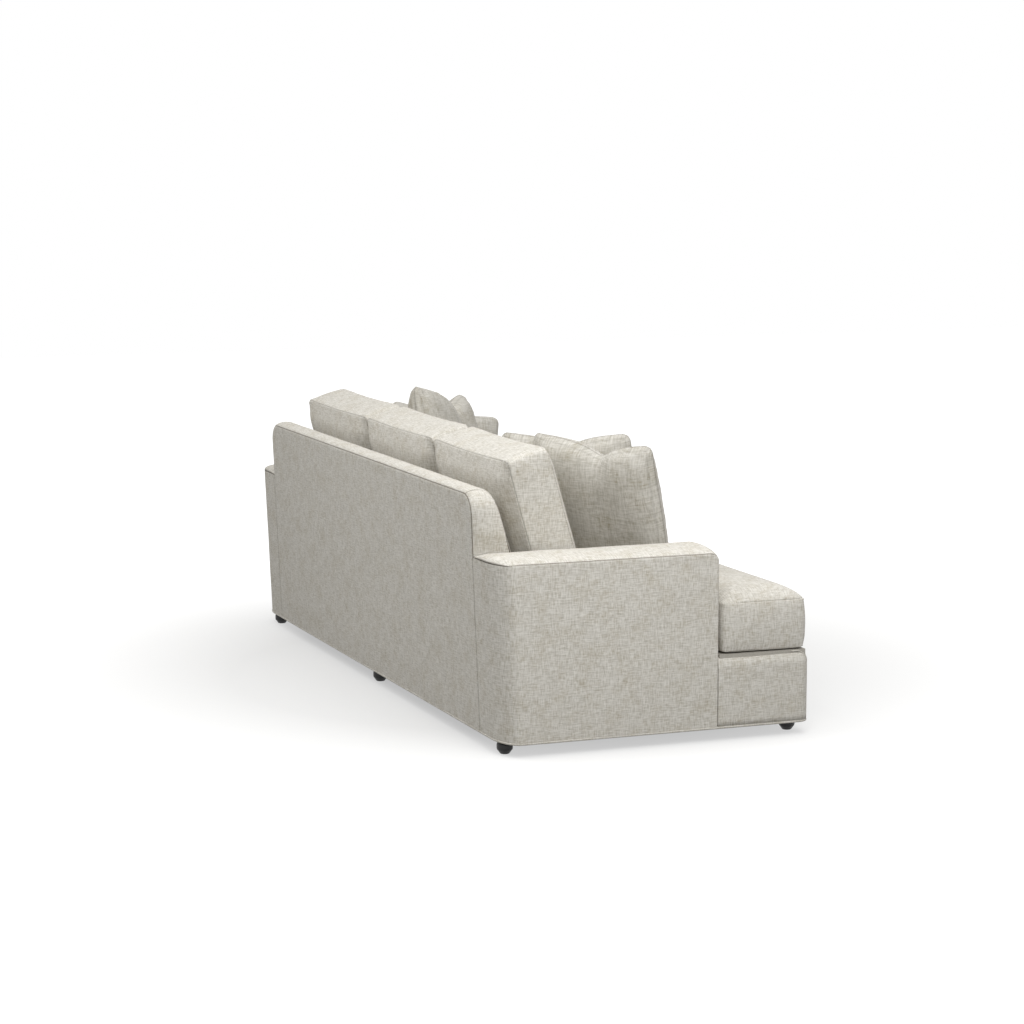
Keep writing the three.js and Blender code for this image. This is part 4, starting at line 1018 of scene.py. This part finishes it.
def sewn_case(case, seams, hull, groove, seam_shadow, slack, reach):
    """Keeps a case within its own room, sinks its seams into rounded grooves, and smooths the rest."""
    smoothing = case.modifiers.new("smoothing", "SUBSURF")
    smoothing.levels = smoothing.render_levels = 1
    applied(case)
    shape = bmesh.new()
    shape.from_mesh(case.data)
    shade = shape.verts.layers.float.new("seam")
    for cut in (9.0, 4.0):
        close = [v for v in shape.verts if seams.find(v.co)[2] < cut * MM]
        near = {e for v in close for e in v.link_edges}
        bmesh.ops.subdivide_edges(shape, edges=list(near), cuts=1, use_grid_fill=True)
    bmesh.ops.triangulate(shape, faces=[f for f in shape.faces if len(f.verts) > 4])
    shape.normal_update()
    surface = BVHTree.FromBMesh(shape)
    moves, free, aside = [], [], {}
    for vert in shape.verts:
        place, normal = hull.find_nearest(vert.co)[:2]
        out = (vert.co - place).dot(normal)
        stitch, which, far = seams.find(vert.co)
        if which not in aside:
            aside[which] = surface.find_nearest(stitch)[3]
        gap = math.sqrt(max(0.0, far ** 2 - aside[which] ** 2)) / MM
        push = min(0.0, PROUD * MM - out) - FILL * min(0.0, out)
        front = ((REAR - vert.co.y) / MM - CROWN_FROM) / CROWN_RUN
        crown = CROWN * min(1.0, max(0.0, front)) * (1 - math.exp(-far / MM / CROWN_EDGE))
        push += crown * MM * max(0.0, vert.normal.z)
        push += softness(vert.co, gap, slack) * CASE_SLACK * MM
        push -= groove * MM * quarter(gap, reach)
        if gap > SEAM_REACH:
            free.append(vert)
        moves.append(vert.normal * push)
        # Painted shade along the cushion's seams, at the strength given to sewn_case.
        vert[shade] = seam_shade(gap, seam_shadow)
    for vert, move in zip(shape.verts, moves):
        vert.co += move
    every_way = dict(use_axis_x=True, use_axis_y=True, use_axis_z=True)
    for _ in range(SETTLE):
        bmesh.ops.smooth_vert(shape, verts=free, factor=0.5, **every_way)
    shape.to_mesh(case.data)
    shape.free()


def cushion(node_name, axis, body, groove, seam_shadow, slack=1.0, reach=8.0):
    """A whole loose cushion: rounded, inflated, sewn, and set to ride with its body."""
    case, seams, hull = rounded_case(node_name, axis)
    inflated(case, seams)
    sewn_case(case, seams, hull, groove, seam_shadow, slack, reach)
    case.data.materials.clear()
    case.data.materials.append(cover_cloth)
    case.data.shade_smooth()
    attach(case, body)
    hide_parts(node_name)
    print(case.name, len(case.data.polygons), "faces")


print("cushion mesh", VOXEL, "mm, pressed inwards", SHRINK, "mm before it swells")

# %% [markdown]
# Three seat cushions lie on the deck. The outer two reach round the front of the arms, so in plan
# they are L shapes. Their seams run round the top and the bottom of the border.

# %% Seat cushions
for which in ("chaise", "middle", "far"):
    cushion(f"seat_cushion_{which}", UP, f"{which}_seat", groove=10.0, seam_shadow=0.3, reach=44)

# %% [markdown]
# Three back cushions stand on the seats and lean on the inside back. They are softer, so they crown
# more, and their panels look along a line that leans with them.

# %% Back cushions
BACK_CUSHION_LEAN = math.radians(16)
LEANED = Vector((0, -math.cos(BACK_CUSHION_LEAN), math.sin(BACK_CUSHION_LEAN)))
for which in ("near", "middle", "far"):
    cushion(f"back_cushion_{which}", LEANED, f"{which}_back", groove=4.0, seam_shadow=0.7, slack=1.6)

# %% [markdown]
# A throw pillow has no border: its two panels are sewn together at the rim, with a second row of
# stitches beside it. Its corners stand up as blunt ears with a tuck below them, and a chop of the
# hand into the top edge leaves a valley. Two grids that share their rim make the case.

# %% Throw pillows
TOPSTITCH = 11
STITCH = 0.8
EAR = 30
TUCK = 9
TUCK_IN = 34
TUCK_WIDTH = 17
PULL = -7
CHOP_WIDTH = 88
DENT = 0.36
DENT_WIDTH = 62
SQUARE = 3.8
PLUMP = 0.43
FOLDS = 4.0
SWELLS = 8.0
CURL = 10
EXTRA = 20
CLEAR = 1.5
PILLOWS = {
    "near_back": dict(
        seat="chaise", back="near", along=533, inwards=549, wide=491, high=492, sink=16, stuffing=122,
        facing=60, lean=16, roll=1, chop=60, chop_side=-38,
    ),
    "near_front": dict(
        seat="chaise", back="near", along=742, inwards=536, wide=476, high=484, sink=10, stuffing=108,
        facing=45, lean=17, roll=-2, chop=56, chop_side=0,
    ),
    "far_back": dict(
        seat="far", back="far", along=2390, inwards=642, wide=452, high=376, sink=32, stuffing=104,
        facing=181, lean=14, roll=-11, chop=50, chop_side=0,
    ),
    "far_front": dict(
        seat="far", back="far", along=2078, inwards=563, wide=490, high=483, sink=16, stuffing=132,
        facing=130, lean=15, roll=-8, chop=92, chop_side=58,
    ),
}


def blunt(across, upwards, half_wide, half_high):
    """Moves a place in the square corner of a panel into the quarter circle of a blunt ear."""
    over = (max(0.0, abs(across) - half_wide + EAR), max(0.0, abs(upwards) - half_high + EAR))
    length = math.hypot(*over)
    if min(over) <= 0:
        return across, upwards
    fit = max(over) / length
    moved = [o * fit - o for o in over]
    return across + math.copysign(1, across) * moved[0], upwards + math.copysign(1, upwards) * moved[1]


def pillow_point(x, y, side, size):
    """A point of one panel in the pillow's own frame, in millimetres: x and y from -1 to 1."""
    half_wide, half_high = size["wide"] / 2, size["high"] / 2
    dx, dy = half_wide * (1 - abs(x)), half_high * (1 - abs(y))
    rim = min(dx, dy)
    inside = max(0.0, rim - TOPSTITCH)
    full = ((1 - abs(x) ** SQUARE) * (1 - abs(y) ** SQUARE)) ** PLUMP
    half = (size["stuffing"] + EXTRA) / 2 * full * (1 - math.exp(-rim / 8))
    half += 1.4 * min(1.0, rim / 1.5) ** 0.5
    half -= STITCH * math.exp(-((rim - TOPSTITCH) / 1.4) ** 2)
    rise = (y + 1) / 2
    across, upwards = blunt(x * half_wide, y * half_high, half_wide, half_high)
    aside = across - size["chop_side"]
    half *= 1 - DENT * math.exp(-(aside / DENT_WIDTH) ** 2) * rise ** 2.4
    across -= PULL * math.cos(math.pi * y / 2) * x
    upwards -= PULL * math.cos(math.pi * x / 2) * min(y, 0.3 * y)
    upwards -= size["chop"] * rise ** 3 * math.exp(-(math.hypot(aside, 12) - 12) / CHOP_WIDTH)
    corner = math.hypot(dx - TUCK_IN, dy - TUCK_IN)
    half -= TUCK * math.exp(-(corner / TUCK_WIDTH) ** 2) * (1 if y > 0 else 0.4)
    seed = size["along"] * 0.01
    run = (x if dy < dx else y) * 9
    pucker = math.exp(-inside / 40) * min(1.0, inside / 8)
    fold = noise.noise(Vector((run * 1.6, seed, side * 3.0)))
    fold += 0.5 * noise.noise(Vector((run * 3.4, seed, 9.0)))
    broad = noise.noise(Vector((x * 1.5 + seed, y * 1.5, side * 2.0)))
    half += FOLDS * fold * pucker + SWELLS * broad * min(1.0, inside / 100)
    depth = side * max(half, 0.3 if rim > 0.2 else 0.0) + CURL * (abs(x) * max(0.0, y)) ** 5
    return Vector((across, upwards, depth)), rim


def pressed(shape, node_name, way):
    """Presses a pillow flat against a cushion, looking at it along the way that it rests on it."""
    rest_on = surface_of(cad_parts[node_name])
    for vert in shape.verts:
        place = rest_on.ray_cast(vert.co - way, way)[0]
        if place is not None:
            vert.co -= way * max(0.0, (vert.co - place).dot(way) + CLEAR * MM)


def sewn_pillow(size):
    """The two panels of a pillow, sewn together at the rim, in the pillow's own frame."""
    rows = (1, 2.5, 5, 8, 10, 11, 12, 15, 20, 26, 33, 41)
    xs = [p / size["wide"] * 2 - 1 for p in rows_between(0, size["wide"], 8, rows)]
    ys = [p / size["high"] * 2 - 1 for p in rows_between(0, size["high"], 8, rows)]
    columns, rows = len(xs) - 1, len(ys) - 1
    shape = bmesh.new()
    seam_shadow = shape.verts.layers.float.new("seam")
    weave = shape.verts.layers.float_vector.new("weave")
    for side in (1, -1):
        before = set(shape.verts)
        bmesh.ops.create_grid(shape, x_segments=columns, y_segments=rows, size=0.5)
        for vert in set(shape.verts) - before:
            x, y = xs[round((vert.co.x + 0.5) * columns)], ys[round((vert.co.y + 0.5) * rows)]
            place, rim = pillow_point(x, y, side, size)
            vert[weave] = Vector((place.x, place.y, size["along"])) * MM
            # Painted shade along the rim seam and, fainter, along the row of topstitching.
            vert[seam_shadow] = max(seam_shade(rim, 0.45), seam_shade(abs(rim - TOPSTITCH), 0.2))
            vert.co = place * MM
    bmesh.ops.remove_doubles(shape, verts=shape.verts, dist=0.0002)
    bmesh.ops.recalc_face_normals(shape, faces=shape.faces)
    return shape


def pillow(which, size):
    """A whole pillow: sewn, turned into its corner, and resting on its seat and its back cushion."""
    shape = sewn_pillow(size)
    facing, lean = math.radians(size["facing"]), math.radians(size["lean"])
    level = Vector((math.cos(facing), -math.sin(facing), 0))
    up = UP * math.cos(lean) - level * math.sin(lean)
    normal = level * math.cos(lean) + UP * math.sin(lean)
    turned = Matrix((up.cross(normal), up, normal)).transposed().to_4x4()
    turned @= Matrix.Rotation(math.radians(size["roll"]), 4, "Z")
    bmesh.ops.transform(shape, matrix=turned, verts=shape.verts)
    corners = [Vector((side * size["wide"], -size["high"], 0)) * MM / 2 for side in (1, -1)]
    lift = (SEAT_TOP - size["sink"]) * MM - min((turned @ corner).z for corner in corners)
    bmesh.ops.translate(shape, verts=shape.verts, vec=at(size["along"], size["inwards"], 0) + UP * lift)
    pressed(shape, f"back_cushion_{size['back']}", Vector((0, 1, 0)))
    pressed(shape, f"seat_cushion_{size['seat']}", -UP)
    name, body, node_name = f"throw_pillow_{which}", f"{which}_pillow", f"pillow_{which}"
    made = as_object(name, shape, shaded_pillow_cloth, body, node_name)
    print(name, len(made.data.polygons), "faces")


for which, size in PILLOWS.items():
    pillow(which, size)
